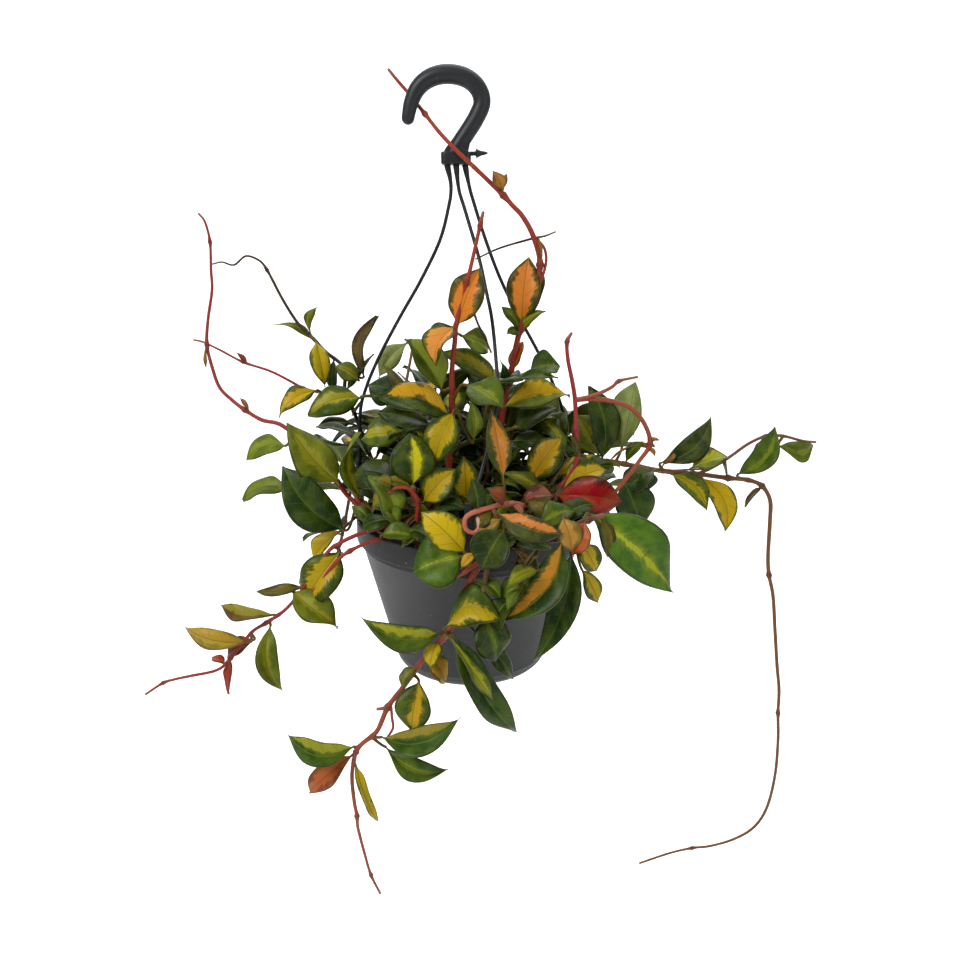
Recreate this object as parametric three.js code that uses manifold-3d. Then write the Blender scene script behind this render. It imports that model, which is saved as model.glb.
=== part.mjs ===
// Potted hoya: a trailing plant with waxy variegated leaves, in a tapered pot that hangs by
// three strands from a moulded hook. Millimetres, +Z up. The part's origin is the inside of the
// hook's crown, where it hangs on a rod. The shapes are laid out from the middle of the pot's base.

import * as THREE from "three";
import { mergeVertices } from "three/addons/utils/BufferGeometryUtils.js";
import Module from "manifold-3d";

const wasm = await Module();
wasm.setup();

// Driving dimensions.
const rimRadius = 85;
const potHeight = 115;
const bandHeight = 15;
const bandStep = 3;
const baseRadius = 57;
const baseBevel = 4;
const wall = 2;
const potSides = 36;
const clearance = 0.3;

const soilTop = 103;
const soilSides = 24;
const soilRings = 3;
const soilRoughness = 2.2;
const soilDip = 2;
const soilInset = 1;
const stemHoleDepth = 12;
const stemHoleRadius = 3.5;
const stemHoleSides = 8;

const hookCrownX = -16;
const hookSeatHeight = 410;
const footBase = 360;
const footX = -9;
const footSize = { x: 20, y: 14, z: 8 };
const footCorner = 3;

const strandRadius = 1.25;
const strandSocketDepth = 4;
const clipTop = 150;
const clipWidth = 9;
const clipThickness = 2.4;
const clipLip = 2.6;

const leafThickness = 2;
const petioleWidth = 1.9;
const petioleShare = 0.1;
const petioleAlignment = 0.4;
const stemSides = 5;
const stemStep = 22;
const nodeSwell = 1.7;
const nodeSpan = 3;
const stemTaper = 0.7;
const stemLift = 6;
const fusingTolerance = 0.05;

const radians = THREE.MathUtils.degToRad;

// The front view that the plant is laid out in: a square of 960 units, seen by an eye in front of the
// pot and a little above its rim. A place in it is [across, down, depth], with the depth in
// millimetres behind the pot's axis, or in front of it where it is negative.
const viewSize = 960;
const viewReach = 840;
const eye = new THREE.Vector3(7, -600, 310);
const eyeTilt = radians(15.8);

function seen([across, down, depth]) {
  const right = (across - viewSize / 2) / viewReach;
  const up = (viewSize / 2 - down) / viewReach;
  const ray = new THREE.Vector3(
    right,
    Math.cos(eyeTilt) + up * Math.sin(eyeTilt),
    up * Math.cos(eyeTilt) - Math.sin(eyeTilt),
  );
  return ray.multiplyScalar((depth - eye.y) / ray.y).add(eye);
}

// Random draws that are the same in every build.
function drawsFrom(seed) {
  let state = seed;
  return (low, high) => {
    state = (state * 16807) % 2147483647;
    return low + ((high - low) * state) / 2147483647;
  };
}

// Solids.

function solidOf(geometry) {
  geometry.deleteAttribute("normal");
  geometry.deleteAttribute("uv");
  const merged = mergeVertices(geometry);
  return new wasm.Manifold(
    new wasm.Mesh({
      numProp: 3,
      vertProperties: new Float32Array(merged.attributes.position.array),
      triVerts: new Uint32Array(merged.index.array),
    }),
  );
}

// Solids fused into one body, without the sealed hollows that fusing leaves.
function fused(solids) {
  const bodies = wasm.Manifold.union(solids).simplify(fusingTolerance).decompose();
  return bodies.reduce((one, other) => (other.volume() > one.volume() ? other : one));
}

function meshOf(name, solid, material) {
  const { vertProperties, triVerts } = solid.getMesh();
  const geometry = new THREE.BufferGeometry();
  geometry.setAttribute("position", new THREE.BufferAttribute(vertProperties, 3));
  geometry.setIndex(new THREE.BufferAttribute(triVerts, 1));
  geometry.computeVertexNormals();
  const mesh = new THREE.Mesh(geometry, material);
  mesh.name = name;
  return mesh;
}

function geometryOf(points, triangles) {
  const geometry = new THREE.BufferGeometry();
  geometry.setFromPoints(points);
  geometry.setIndex(triangles);
  return geometry;
}

// A skin over rings of points, closed at both ends, or drawn in to a point where one is given. The
// sides named in mirrored are split along their other diagonal, so that the two faces of a blade
// are split alike.
function loft(rings, mirrored = [], end = null) {
  const count = rings[0].length;
  const triangles = [];
  for (let ring = 0; ring + 1 < rings.length; ring += 1) {
    for (let side = 0; side < count; side += 1) {
      const next = (side + 1) % count;
      const a = ring * count + side;
      const b = ring * count + next;
      const c = a + count;
      const d = b + count;
      if (mirrored.includes(side)) {
        triangles.push(a, b, c, b, d, c);
      } else {
        triangles.push(a, b, d, a, d, c);
      }
    }
  }
  const last = (rings.length - 1) * count;
  for (let side = 1; side + 1 < count; side += 1) {
    triangles.push(0, side + 1, side);
    if (!end) {
      triangles.push(last, last + side, last + side + 1);
    }
  }
  if (!end) {
    return geometryOf(rings.flat(), triangles);
  }
  for (let side = 0; side < count; side += 1) {
    triangles.push(last + side, last + ((side + 1) % count), last + count);
  }
  return geometryOf([...rings.flat(), end], triangles);
}

function smoothCurve(points) {
  return new THREE.CatmullRomCurve3(points, false, "catmullrom");
}

// A round bar along a curve. Each station is [place on the curve, radius].
function bar(curve, stations, sides) {
  const rings = [];
  let across = new THREE.Vector3(0, 1, 0);
  for (const [place, radius] of stations) {
    const centre = curve.getPoint(place);
    const along = curve.getTangent(place);
    across = across.clone().addScaledVector(along, -across.dot(along)).normalize();
    const side = new THREE.Vector3().crossVectors(along, across);
    const ring = [];
    for (let corner = 0; corner < sides; corner += 1) {
      const angle = (2 * Math.PI * (corner + 0.5)) / sides;
      ring.push(
        centre
          .clone()
          .addScaledVector(across, radius * Math.cos(angle))
          .addScaledVector(side, radius * Math.sin(angle)),
      );
    }
    rings.push(ring);
  }
  return solidOf(loft(rings));
}

// Pot: one moulding, with a step out to a darker rim band and a bevelled base.

const potPlastic = new THREE.MeshStandardMaterial({ color: 0x4e4e4f, roughness: 0.55, metalness: 0 });
const bandBase = potHeight - bandHeight;
const wallTop = rimRadius - bandStep;
const potProfile = [
  [0, 0],
  [baseRadius - baseBevel, 0],
  [baseRadius, baseBevel],
  [wallTop, bandBase],
  [rimRadius, bandBase],
  [rimRadius, potHeight],
  [rimRadius - wall, potHeight],
  [rimRadius - wall, bandBase + wall],
  [wallTop - wall, bandBase + wall],
  [baseRadius - wall, baseBevel + wall],
  [0, baseBevel + wall],
].map(([radius, height]) => new THREE.Vector2(radius, height));
const potShell = new THREE.LatheGeometry(potProfile, potSides);
potShell.rotateX(Math.PI / 2);
const pot = meshOf("pot", solidOf(potShell), potPlastic);

function wallRadius(height) {
  const share = (height - baseBevel) / (bandBase - baseBevel);
  return baseRadius + (wallTop - baseRadius) * share;
}

// Hook: a thick round bar bent into a crown, with a flat foot and a small barbed pin.

const hookPlastic = new THREE.MeshStandardMaterial({ color: 0x24262a, roughness: 0.5, metalness: 0 });

// Places along the hook's middle line from its free end, with the bar's radius at each.
const hookLine = [
  [407, 120, 4.2],
  [410, 104, 4.8],
  [417, 89, 5.4],
  [430, 78, 5.9],
  [446, 74, 6.1],
  [463, 78, 5.9],
  [476, 89, 5.5],
  [482, 105, 5.2],
  [479, 121, 5.2],
  [469, 137, 5.2],
  [459, 150, 5.6],
  [456, 161, 6],
];
const hookDepth = 0;
const hookSides = 8;
const hookCurve = smoothCurve(hookLine.map(([across, down]) => seen([across, down, hookDepth])));
const hookStations = hookLine.map(([, , radius], place) => [place / (hookLine.length - 1), radius]);
const hookBar = bar(hookCurve, hookStations, hookSides);

function roundedBlock(size, corner, x, base) {
  const halfX = size.x / 2;
  const halfY = size.y / 2;
  const outline = new THREE.Shape();
  outline.moveTo(-halfX + corner, -halfY);
  outline.lineTo(halfX - corner, -halfY);
  outline.absarc(halfX - corner, -halfY + corner, corner, -Math.PI / 2, 0, false);
  outline.absarc(halfX - corner, halfY - corner, corner, 0, Math.PI / 2, false);
  outline.absarc(-halfX + corner, halfY - corner, corner, Math.PI / 2, Math.PI, false);
  outline.absarc(-halfX + corner, -halfY + corner, corner, Math.PI, 1.5 * Math.PI, false);
  const block = new THREE.ExtrudeGeometry(outline, {
    depth: size.z,
    bevelEnabled: false,
    curveSegments: 3,
  });
  block.translate(x, 0, base);
  return solidOf(block);
}

const foot = roundedBlock(footSize, footCorner, footX, footBase);
const barbLine = new THREE.LineCurve3(seen([462, 154, hookDepth]), seen([488, 153, hookDepth]));
const barb = bar(
  barbLine,
  [
    [0, 1.4],
    [0.52, 1.4],
    [0.56, 3],
    [0.74, 1.5],
    [1, 0.9],
  ],
  stemSides,
);

// Strands: each rises from a clip on the rim band and bows inward to its socket in the foot.

function onRim(angle, radius, height) {
  return new THREE.Vector3(
    radius * Math.cos(radians(angle)),
    radius * Math.sin(radians(angle)),
    height,
  );
}

// Each strand's clip is at an angle round the rim, and the strand passes the places on its way down.
const strandRoutes = {
  left: {
    angle: 168,
    socket: [-15, 0],
    places: [[450, 178, 0], [451, 190, 1], [449, 205, 2], [440, 240, 5], [421, 280, 9],
      [400, 317, 12], [380, 355, 14], [366, 388, 16], [360, 415, 18]],
  },
  front: {
    angle: 271,
    socket: [-9, -2],
    places: [[459, 190, -2], [465, 210, -4], [479, 258, -12], [486, 290, -19], [492, 320, -27],
      [496, 360, -38], [498, 396, -51], [491, 434, -68], [480, 476, -83]],
  },
  right: {
    angle: 32,
    socket: [-3, 1],
    places: [[469, 185, 2], [473, 200, 4], [485, 238, 10], [500, 278, 17], [518, 315, 25],
      [537, 350, 32], [552, 381, 39], [562, 408, 43], [566, 430, 44]],
  },
};
const clipRadius = rimRadius + clearance;
const strandFoot = clipRadius + clipThickness / 2;
const strandSeat = 8;

function strandCurve({ angle, socket, places }) {
  const [x, y] = socket;
  return smoothCurve([
    new THREE.Vector3(x, y, footBase + strandSocketDepth - clearance),
    new THREE.Vector3(x, y, footBase),
    ...places.map(seen),
    onRim(angle, strandFoot, clipTop),
    onRim(angle, strandFoot, clipTop - strandSeat),
  ]);
}

// The clip wraps the rim band: a tongue down its outside, a lip over its top and a lip under it.
function clipSolid(angle) {
  const inner = clipRadius;
  const outer = inner + clipThickness;
  const under = bandBase - clearance;
  const over = potHeight + clearance;
  const ledge = rimRadius - bandStep + clearance;
  const lipEnd = rimRadius - wall;
  const outline = new THREE.Shape(
    [
      [outer, under - clipLip],
      [outer, clipTop],
      [inner, clipTop],
      [inner, over + clipLip],
      [lipEnd, over + clipLip],
      [lipEnd, over],
      [inner, over],
      [inner, under],
      [ledge, under],
      [ledge, under - clipLip],
    ].map(([radius, height]) => new THREE.Vector2(radius, height)),
  );
  const clip = new THREE.ExtrudeGeometry(outline, { depth: clipWidth, bevelEnabled: false });
  clip.translate(0, 0, -clipWidth / 2);
  clip.rotateX(Math.PI / 2);
  clip.rotateZ(radians(angle));
  return solidOf(clip);
}

const strandSides = 6;
const strandSteps = 14;
let hookSolid = hookBar.add(foot).add(barb);
const strands = Object.entries(strandRoutes).map(([name, route]) => {
  const socket = new THREE.CylinderGeometry(
    strandRadius + 2 * clearance,
    strandRadius + 2 * clearance,
    2 * strandSocketDepth + clearance,
    stemHoleSides,
  );
  socket.rotateX(Math.PI / 2);
  socket.translate(route.socket[0], route.socket[1], footBase);
  hookSolid = hookSolid.subtract(solidOf(socket));
  const curve = strandCurve(route);
  const stations = [];
  for (let step = 0; step <= strandSteps; step += 1) {
    stations.push([step / strandSteps, strandRadius]);
  }
  const strand = bar(curve, stations, strandSides).add(clipSolid(route.angle));
  return meshOf(`hanger_strand_${name}`, strand, hookPlastic.clone());
});
const hook = meshOf("hanger_hook", hookSolid, hookPlastic);

// Leaves.

// A leaf is four points round at each station: its left edge, the ridge of its upper face, its
// right edge and the ridge of its lower face. Its halves fold up from the midrib, the midrib bows
// out of the blade and bends to its right, or to its left where the bend is negative, and the edges
// wave. It starts as a petiole, sunk into its stem, and ends in a point.
const bladeStations = [0.17, 0.5, 0.83];
const smallBladeStations = [0.26, 0.7];
const smallLeaf = 30;
const bladeLowerSides = [2, 3];
const waveHeight = 0.035;

function bladeHalfWidth(share) {
  return Math.pow(Math.sin(Math.PI * Math.pow(share, 0.86)), 0.65) / 2;
}

function leafSolid({ stem, base, tip, wide, up, bow, bend, fold, wave }) {
  const along = tip.clone().sub(base);
  const length = along.length();
  along.normalize();
  const normal = up.clone().addScaledVector(along, -up.dot(along)).normalize();
  const right = new THREE.Vector3().crossVectors(along, normal);
  const lift = Math.sin(radians(fold));
  const spread = Math.cos(radians(fold));
  const small = length < smallLeaf;
  const rings = [petioleRing(stem, base.clone().sub(stem).normalize(), normal, right)];
  if (!small || base.distanceTo(stem) > smallLeaf * petioleShare) {
    const turning = base.clone().sub(stem).normalize().add(along).normalize();
    rings.push(petioleRing(base, turning, normal, right));
  }
  for (const share of small ? smallBladeStations : bladeStations) {
    const half = wide * bladeHalfWidth(share);
    const waved = length * waveHeight * Math.sin(2 * Math.PI * share + wave);
    const centre = base
      .clone()
      .addScaledVector(along, length * share)
      .addScaledVector(normal, bow * 4 * share * (1 - share))
      .addScaledVector(right, bend * 4 * share * (1 - share));
    const edge = (side) =>
      centre
        .clone()
        .addScaledVector(right, side * half * spread)
        .addScaledVector(normal, half * lift + side * waved);
    const ridge = (face) => centre.clone().addScaledVector(normal, (face * leafThickness) / 2);
    rings.push([edge(-1), ridge(1), edge(1), ridge(-1)]);
  }
  return solidOf(loft(rings, bladeLowerSides, tip));
}

// A square across a petiole, which keeps its thickness whichever way the petiole runs.
function petioleRing(centre, along, normal, right) {
  const side = new THREE.Vector3().crossVectors(along, normal);
  if (side.length() < petioleAlignment || side.dot(right) < 0) {
    side.copy(right).addScaledVector(along, -right.dot(along));
  }
  side.normalize();
  const face = new THREE.Vector3().crossVectors(side, along);
  const half = petioleWidth / 2;
  return [
    centre.clone().addScaledVector(side, -half),
    centre.clone().addScaledVector(face, half),
    centre.clone().addScaledVector(side, half),
    centre.clone().addScaledVector(face, -half),
  ];
}

// The way that a leaf's upper face looks: towards the eye where it isn't turned, and turned up
// from there about the leaf's own length.
function facing(base, tip, turn) {
  const along = tip.clone().sub(base).normalize();
  const toEye = eye.clone().sub(base);
  toEye.addScaledVector(along, -toEye.dot(along)).normalize();
  const sideways = new THREE.Vector3().crossVectors(along, toEye);
  if (sideways.z < 0) {
    sideways.negate();
  }
  return toEye
    .multiplyScalar(Math.cos(radians(turn)))
    .addScaledVector(sideways, Math.sin(radians(turn)));
}

// Stems.

// A stem's bar has a station at each of its places, more where they are far apart, and a swelling
// at each node that leaves or roots have grown from.
function stemSolid(curve, [thick, thin], nodes) {
  const spans = curve.points.length - 1;
  const stations = [];
  for (let place = 0; place < spans; place += 1) {
    const span = curve.points[place].distanceTo(curve.points[place + 1]);
    const steps = Math.max(1, Math.round(span / stemStep));
    for (let step = 0; step < steps; step += 1) {
      stations.push([place + step / steps, 1]);
    }
  }
  stations.push([spans, stemTaper]);
  for (const node of nodes) {
    const shift = nodeSpan / curve.points[node].distanceTo(curve.points[node - 1]);
    const kept = stations.filter(([place]) => Math.abs(place - node) > shift * 1.5);
    kept.push([node - shift, 1], [node, nodeSwell]);
    if (node < spans) {
      kept.push([node + shift, 1]);
    }
    stations.splice(0, stations.length, ...kept);
  }
  stations.sort(([one], [other]) => one - other);
  return bar(
    curve,
    stations.map(([place, swell]) => {
      const share = Math.min(1, place / spans);
      return [share, (thick + (thin - thick) * share) * swell];
    }),
    stemSides,
  );
}

function rooted([x, y]) {
  return [
    new THREE.Vector3(x, y, soilTop - stemHoleDepth + clearance),
    new THREE.Vector3(x, y, soilTop + stemLift),
  ];
}

// A leafy stem: its stems, the first of them rooted in the soil and each other grown from a place
// on one before it, and its leaves. A stem is [name, radii, nodes, places, parent, place on it].
// A leaf is [stem, place on it, tip, width, turn, bow, fold, base, bend]. The base is where the blade
// starts, given where that is far from the stem, and the bend is left out where there is none.
function leafyStem({ root, stems, leaves }) {
  const curves = {};
  const solids = [];
  for (const [name, radii, nodes, places, parent, at] of stems) {
    const start = parent ? [pointOn(curves[parent], at)] : rooted(root);
    curves[name] = smoothCurve([...start, ...places.map(seen)]);
    solids.push(stemSolid(curves[name], radii, nodes));
  }
  leaves.forEach(([name, at, tipPlace, wide, turn, bow, fold, basePlace, bend = 0], number) => {
    const stem = pointOn(curves[name], at);
    const tip = seen(tipPlace);
    const base = basePlace ? seen(basePlace) : stem.clone().lerp(tip, petioleShare);
    const up = facing(base, tip, turn);
    solids.push(leafSolid({ stem, base, tip, wide, up, bow, bend, fold, wave: number }));
  });
  return fused(solids);
}

function pointOn(curve, at) {
  return curve.getPoint(at / (curve.points.length - 1));
}

const tallLeftVine = {
  root: [-48, -8],
  stems: [
    ["main", [2, 0.8], [5, 9, 13, 17],
      [[382, 524, -14], [364, 510, -15], [348, 496, -15], [337, 482, -15], [312, 452, -12],
        [283, 426, -8], [262, 420, -5], [245, 410, -3], [232, 400, 0], [220, 388, 2],
        [213, 370, 4], [207, 345, 6], [208, 320, 8], [212, 290, 9], [211, 270, 10],
        [210, 242, 10], [205, 222, 10], [199, 214, 10]]],
  ],
  leaves: [
    ["main", 5, [287, 423, -34], 32, 15, 4, 10, [338, 482, -26], -4],
    ["main", 6.6, [247, 460, -2], 15, 35, 3, 15, [285, 446, -8], 4],
    ["main", 5.4, [243, 501, -2], 16, 35, 3, 15, [288, 488, -8], 4],
    ["main", 3.4, [283, 466, -36], 35, 10, 5, 12, [343, 529, -34], -5],
    ["main", 3, [309, 553, -24], 15, 50, 2, 25, [342, 530, -24]],
    ["main", 3, [358, 432, -22], 18, 72, -13, 20, [368, 505, -22]],
    ["main", 5, [325, 450, -6], 9, 30, 2, 20],
  ],
};

const upperLeftVine = {
  root: [-42, 24],
  stems: [
    ["main", [1.8, 0.6], [6, 12],
      [[388, 490, 26], [368, 450, 30], [354, 412, 32], [345, 392, 32], [344, 368, 34],
        [326, 352, 36], [310, 335, 37], [297, 322, 38], [283, 300, 39], [273, 281, 39],
        [267, 270, 39], [260, 261, 39], [246, 256, 39], [234, 265, 39], [222, 262, 39],
        [213, 264, 39]]],
    ["side", [1.2, 0.7], [2, 5],
      [[320, 392, 26], [303, 388, 24], [290, 381, 22], [270, 371, 20], [243, 362, 18],
        [220, 350, 18], [203, 342, 18], [194, 340, 18]], "main", 5],
  ],
  leaves: [
    ["main", 7.6, [273, 325, 36], 9, 45, 2, 20, null, 2],
    ["main", 8, [318, 307, 34], 12, 45, 2, 20, null, -2],
    ["main", 8, [325, 387, 22], 16, 30, 3, 15, [316, 342, 30], 2],
    ["main", 6.6, [333, 392, 28], 10, 30, 2, 15],
    ["main", 6, [335, 366, 26], 15, 30, 3, 15, [358, 380, 28]],
    ["main", 6, [378, 316, 38], 20, 35, 3, 20, [364, 376, 34], -5],
    ["side", 1, [279, 418, 10], 19, 35, 3, 15, [316, 391, 18], 3],
    ["main", 4, [308, 416, 14], 25, 30, 4, 12, [360, 398, 20], 3],
    ["main", 3, [318, 427, 22], 14, 50, 3, 15, [350, 424, 24]],
    ["main", 3, [338, 455, 24], 14, 45, 3, 15],
    ["main", 5, [374, 354, 40], 8, 40, 1, 15],
  ],
};

const lowerLeftVine = {
  root: [-38, -42],
  stems: [
    ["main", [2.2, 0.9], [7, 9, 11, 15],
      [[400, 527, -48], [384, 528, -50], [362, 533, -56], [340, 543, -60], [326, 554, -62],
        [305, 586, -65], [286, 609, -68], [266, 623, -70], [251, 633, -70], [231, 658, -72],
        [217, 670, -73], [190, 676, -74], [176, 679, -74], [163, 683, -75], [146, 694, -76]]],
  ],
  leaves: [
    ["main", 5.4, [312, 607, -74], 28, 25, 4, 15, [338, 550, -68]],
    ["main", 7, [257, 592, -60], 13, 35, 2, 25, null, -3],
    ["main", 7, [338, 628, -76], 25, 30, 4, 15, null, 4],
    ["main", 8.4, [221, 605, -62], 16, 35, 2, 20, null, -4],
    ["main", 8.8, [283, 691, -80], 22, 25, 4, 20, null, 5],
    ["main", 10, [183, 625, -66], 19, 35, 3, 20, null, -5],
    ["main", 10, [222, 655, -84], 16, 40, 3, 20],
    ["main", 11, [229, 694, -76], 8, 35, 2, 20],
    ["main", 11.4, [212, 658, -66], 8, 40, 1, 20],
  ],
};

const frontVine = {
  root: [4, -54],
  stems: [
    ["main", [2.5, 0.9], [3, 9, 12, 15, 18],
      [[488, 540, -83], [483, 558, -95], [466, 588, -99], [458, 612, -100], [447, 634, -101],
        [427, 654, -102], [404, 686, -103], [388, 707, -104], [377, 731, -105], [363, 743, -105],
        [356, 752, -106], [352, 775, -106], [354, 800, -106], [357, 816, -106], [358, 828, -106],
        [365, 855, -106], [371, 875, -106], [380, 893, -106]]],
    ["stub", [1.7, 1.5], [], [[466, 571, -104], [451, 579, -106]], "main", 3],
  ],
  leaves: [
    ["main", 6, [361, 617, -110], 25, 25, 4, 22, null, -4],
    ["main", 6.4, [431, 668, -112], 15, 40, 3, 20],
    ["main", 7.4, [402, 687, -108], 12, 40, 2, 20],
    ["main", 7, [444, 684, -100], 16, 40, 3, 20],
    ["main", 7.8, [412, 732, -112], 28, 15, 3, 15, [421, 680, -106]],
    ["main", 6, [515, 732, -114], 31, 25, 6, 20, [454, 636, -108], 5],
    ["main", 6.2, [498, 702, -124], 19, 40, 4, 20, [452, 640, -116], 4],
    ["main", 10.4, [461, 717, -112], 24, 30, 3, 18, null, 6],
    ["main", 11, [448, 769, -104], 18, 35, 3, 20, [388, 752, -104], 3],
    ["main", 11.6, [288, 735, -108], 24, 35, 3, 20, null, -6],
    ["main", 12, [309, 793, -104], 20, 40, 4, 20],
    ["main", 12.4, [377, 821, -110], 12, 35, 2, 20, null, 3],
    ["main", 3, [413, 573, -106], 34, 20, 4, 10, [461, 557, -102]],
    ["main", 3, [421, 512, -92], 34, 15, 4, 10, [464, 552, -98]],
    ["main", 3, [455, 634, -120], 28, 20, 6, 30, [476, 578, -110]],
    ["main", 4.6, [496, 661, -108], 26, 20, 4, 15, [484, 617, -106]],
    ["main", 5, [513, 679, -100], 14, 30, 2, 15, [488, 648, -102]],
  ],
};

const leftCrown = {
  root: [-16, -10],
  stems: [
    ["main", [2.6, 1.1], [9, 11],
      [[449, 505, -18], [449, 470, -24], [451, 430, -30], [452, 400, -34], [452, 370, -38],
        [455, 340, -41], [456, 325, -43], [466, 283, -45], [470, 270, -45], [480, 226, -42],
        [483, 213, -42]]],
    ["low", [2.2, 1.6], [3],
      [[434, 505, -50], [420, 512, -58], [414, 502, -62], [413, 488, -64]], "main", 1],
    ["mid", [1.8, 1.4], [2], [[438, 420, -22], [418, 412, -14], [404, 398, -8]], "main", 3],
    ["twig", [0.9, 0.7], [], [[472, 309, -38], [478, 324, -34], [485, 338, -31], [491, 352, -28]],
      "main", 8.6],
  ],
  leaves: [
    ["main", 8, [480, 268, -40], 24, 15, 3, 15, [458, 324, -42]],
    ["main", 8, [436, 366, -48], 23, 35, 8, 25],
    ["main", 8, [428, 350, -34], 16, 40, 5, 15],
    ["main", 7.6, [488, 352, -20], 19, 35, 5, 15, [462, 336, -30]],
    ["main", 5.4, [404, 339, -40], 28, 30, 4, 30, [441, 390, -38]],
    ["mid", 3, [379, 378, 26], 16, 30, 6, 15, [407, 343, 24]],
    ["mid", 3, [368, 386, 0], 28, 30, 3, 10, [400, 394, -4]],
    ["mid", 2.6, [384, 366, 2], 12, 40, 2, 15],
    ["main", 4, [379, 399, -50], 26, 30, 5, 22, [448, 415, -42], 3],
    ["main", 4, [378, 413, -44], 21, 45, 3, 12, [430, 426, -40]],
    ["main", 4, [435, 464, -56], 28, 20, 5, 25, [453, 413, -48]],
    ["mid", 2, [361, 440, -26], 24, 35, 5, 15, [402, 436, -30]],
    ["low", 4, [410, 433, -60], 30, 15, 3, 15],
    ["low", 4, [379, 484, -66], 14, 55, 3, 25],
    ["low", 3, [456, 469, -58], 21, 20, 3, 12, [424, 502, -60]],
    ["low", 1.6, [372, 512, -52], 24, 45, 7, 30, [402, 508, -58]],
    ["main", 2.4, [463, 456, -48], 20, 20, 2, 15, [465, 505, -44]],
    ["low", 2, [380, 536, -84], 16, 45, 3, 20, [416, 539, -84]],
    ["main", 5, [470, 400, -30], 13, 40, 2, 15, [473, 440, -30]],
    ["mid", 1, [398, 372, 24], 13, 50, 2, 15],
    ["main", 5, [503, 409, -66], 24, 35, 4, 12, [468, 386, -52]],
    ["low", 2, [354, 476, -36], 26, 25, 4, 12, [398, 482, -44]],
    ["main", 3, [404, 436, -8], 22, 30, 4, 12, [440, 452, -14]],
  ],
};

const rightCrown = {
  root: [16, 8],
  stems: [
    ["main", [2.6, 1.1], [7, 9, 13, 17],
      [[498, 500, 4], [500, 470, 2], [501, 430, -4], [505, 395, -8], [511, 372, -8],
        [520, 330, -8], [533, 300, -8], [540, 265, -8], [534, 238, -8], [523, 217, -9],
        [512, 205, -10], [503, 195, -10], [475, 168, -13], [458, 152, -14], [440, 133, -9],
        [425, 114, 2], [410, 95, 12], [397, 80, 14], [389, 70, 15]]],
    ["twig", [0.9, 0.6], [], [[500, 248, -3], [476, 259, -6]], "main", 10],
    ["shoot", [0.8, 0.6], [], [[545, 236, -10], [555, 232, -11]], "main", 10],
    ["side", [1.8, 1.2], [2], [[520, 418, 8], [540, 428, 14]], "main", 3],
  ],
  leaves: [
    ["main", 7.1, [529, 257, -2], 25, 15, 3, 20],
    ["main", 8, [545, 272, 2], 15, 40, 3, 20, [533, 316, -4]],
    ["main", 7, [502, 307, -12], 10, 40, 1, 20],
    ["main", 7, [546, 311, -14], 11, 45, 2, 20],
    ["main", 7, [507, 334, -14], 9, 40, 1, 20],
    ["main", 6, [523, 342, -4], 11, 25, 1, 20],
    ["main", 5.6, [560, 367, 2], 23, 35, 4, 15, [530, 372, -2]],
    ["main", 5.6, [558, 378, -12], 11, 50, 3, 15],
    ["main", 4.6, [570, 396, -20], 26, 30, 5, 22, [505, 407, -18], -3],
    ["side", 1, [557, 408, -6], 20, 50, 4, 15, [514, 432, -8]],
    ["side", 2, [566, 412, 4], 24, 35, 4, 15, [556, 438, 4]],
    ["side", 1.4, [553, 446, -12], 18, 40, 3, 12, [512, 442, -12]],
    ["main", 3, [563, 437, -24], 28, 20, 5, 18, [532, 480, -26]],
    ["main", 2, [503, 474, -34], 19, 45, 4, 12, [541, 494, -32]],
    ["main", 4.8, [443, 352, -22], 23, 35, 4, 18, [494, 382, -18]],
    ["main", 3.6, [526, 380, 18], 22, 30, 4, 12, [508, 428, 10]],
    ["side", 1.4, [576, 452, 6], 20, 35, 4, 12, [536, 444, 8]],
    ["main", 2, [550, 466, 12], 24, 30, 3, 12, [508, 486, 10]],
    ["main", 5, [500, 360, -18], 9, 50, 2, 15],
  ],
};

const middleRight = {
  root: [34, -20],
  stems: [
    ["main", [2.2, 1.1], [4, 6, 10],
      [[532, 515, -34], [552, 500, -40], [562, 486, -42], [577, 460, -42], [576, 430, -40],
        [575, 400, -38], [572, 380, -38], [568, 360, -38], [567, 342, -38], [571, 334, -38]]],
    ["arch", [1.7, 1.4], [5],
      [[590, 399, -38], [612, 401, -38], [632, 409, -37], [645, 425, -36], [650, 444, -35],
        [640, 460, -36], [625, 480, -38], [611, 497, -42]], "main", 7],
    ["side", [1.6, 1], [3], [[595, 395, -40], [612, 387, -40], [619, 381, -40], [637, 377, -40]],
      "arch", 0],
    ["curl", [2, 1.7], [2],
      [[522, 505, -68], [505, 504, -90], [488, 508, -98], [472, 513, -101], [465, 519, -102],
        [466, 529, -102], [473, 533, -102], [479, 528, -101], [478, 519, -99]], "main", 2],
  ],
  leaves: [
    ["main", 4, [622, 501, -54], 30, 10, 5, 10, [558, 496, -52]],
    ["main", 3, [521, 502, -50], 16, 35, 4, 20, [553, 496, -50]],
    ["main", 4, [607, 470, -38], 23, 30, 4, 20, [564, 488, -44]],
    ["curl", 2, [488, 489, -98], 12, 30, 2, 15],
    ["curl", 1.6, [523, 515, -88], 6, 40, 1, 15],
    ["main", 5, [568, 433, -44], 7, 50, 2, 20],
    ["curl", 2, [491, 409, -74], 25, 15, 2, 15, [503, 478, -90]],
    ["curl", 3.6, [472, 478, -101], 12, 20, 2, 12],
  ],
};

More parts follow.
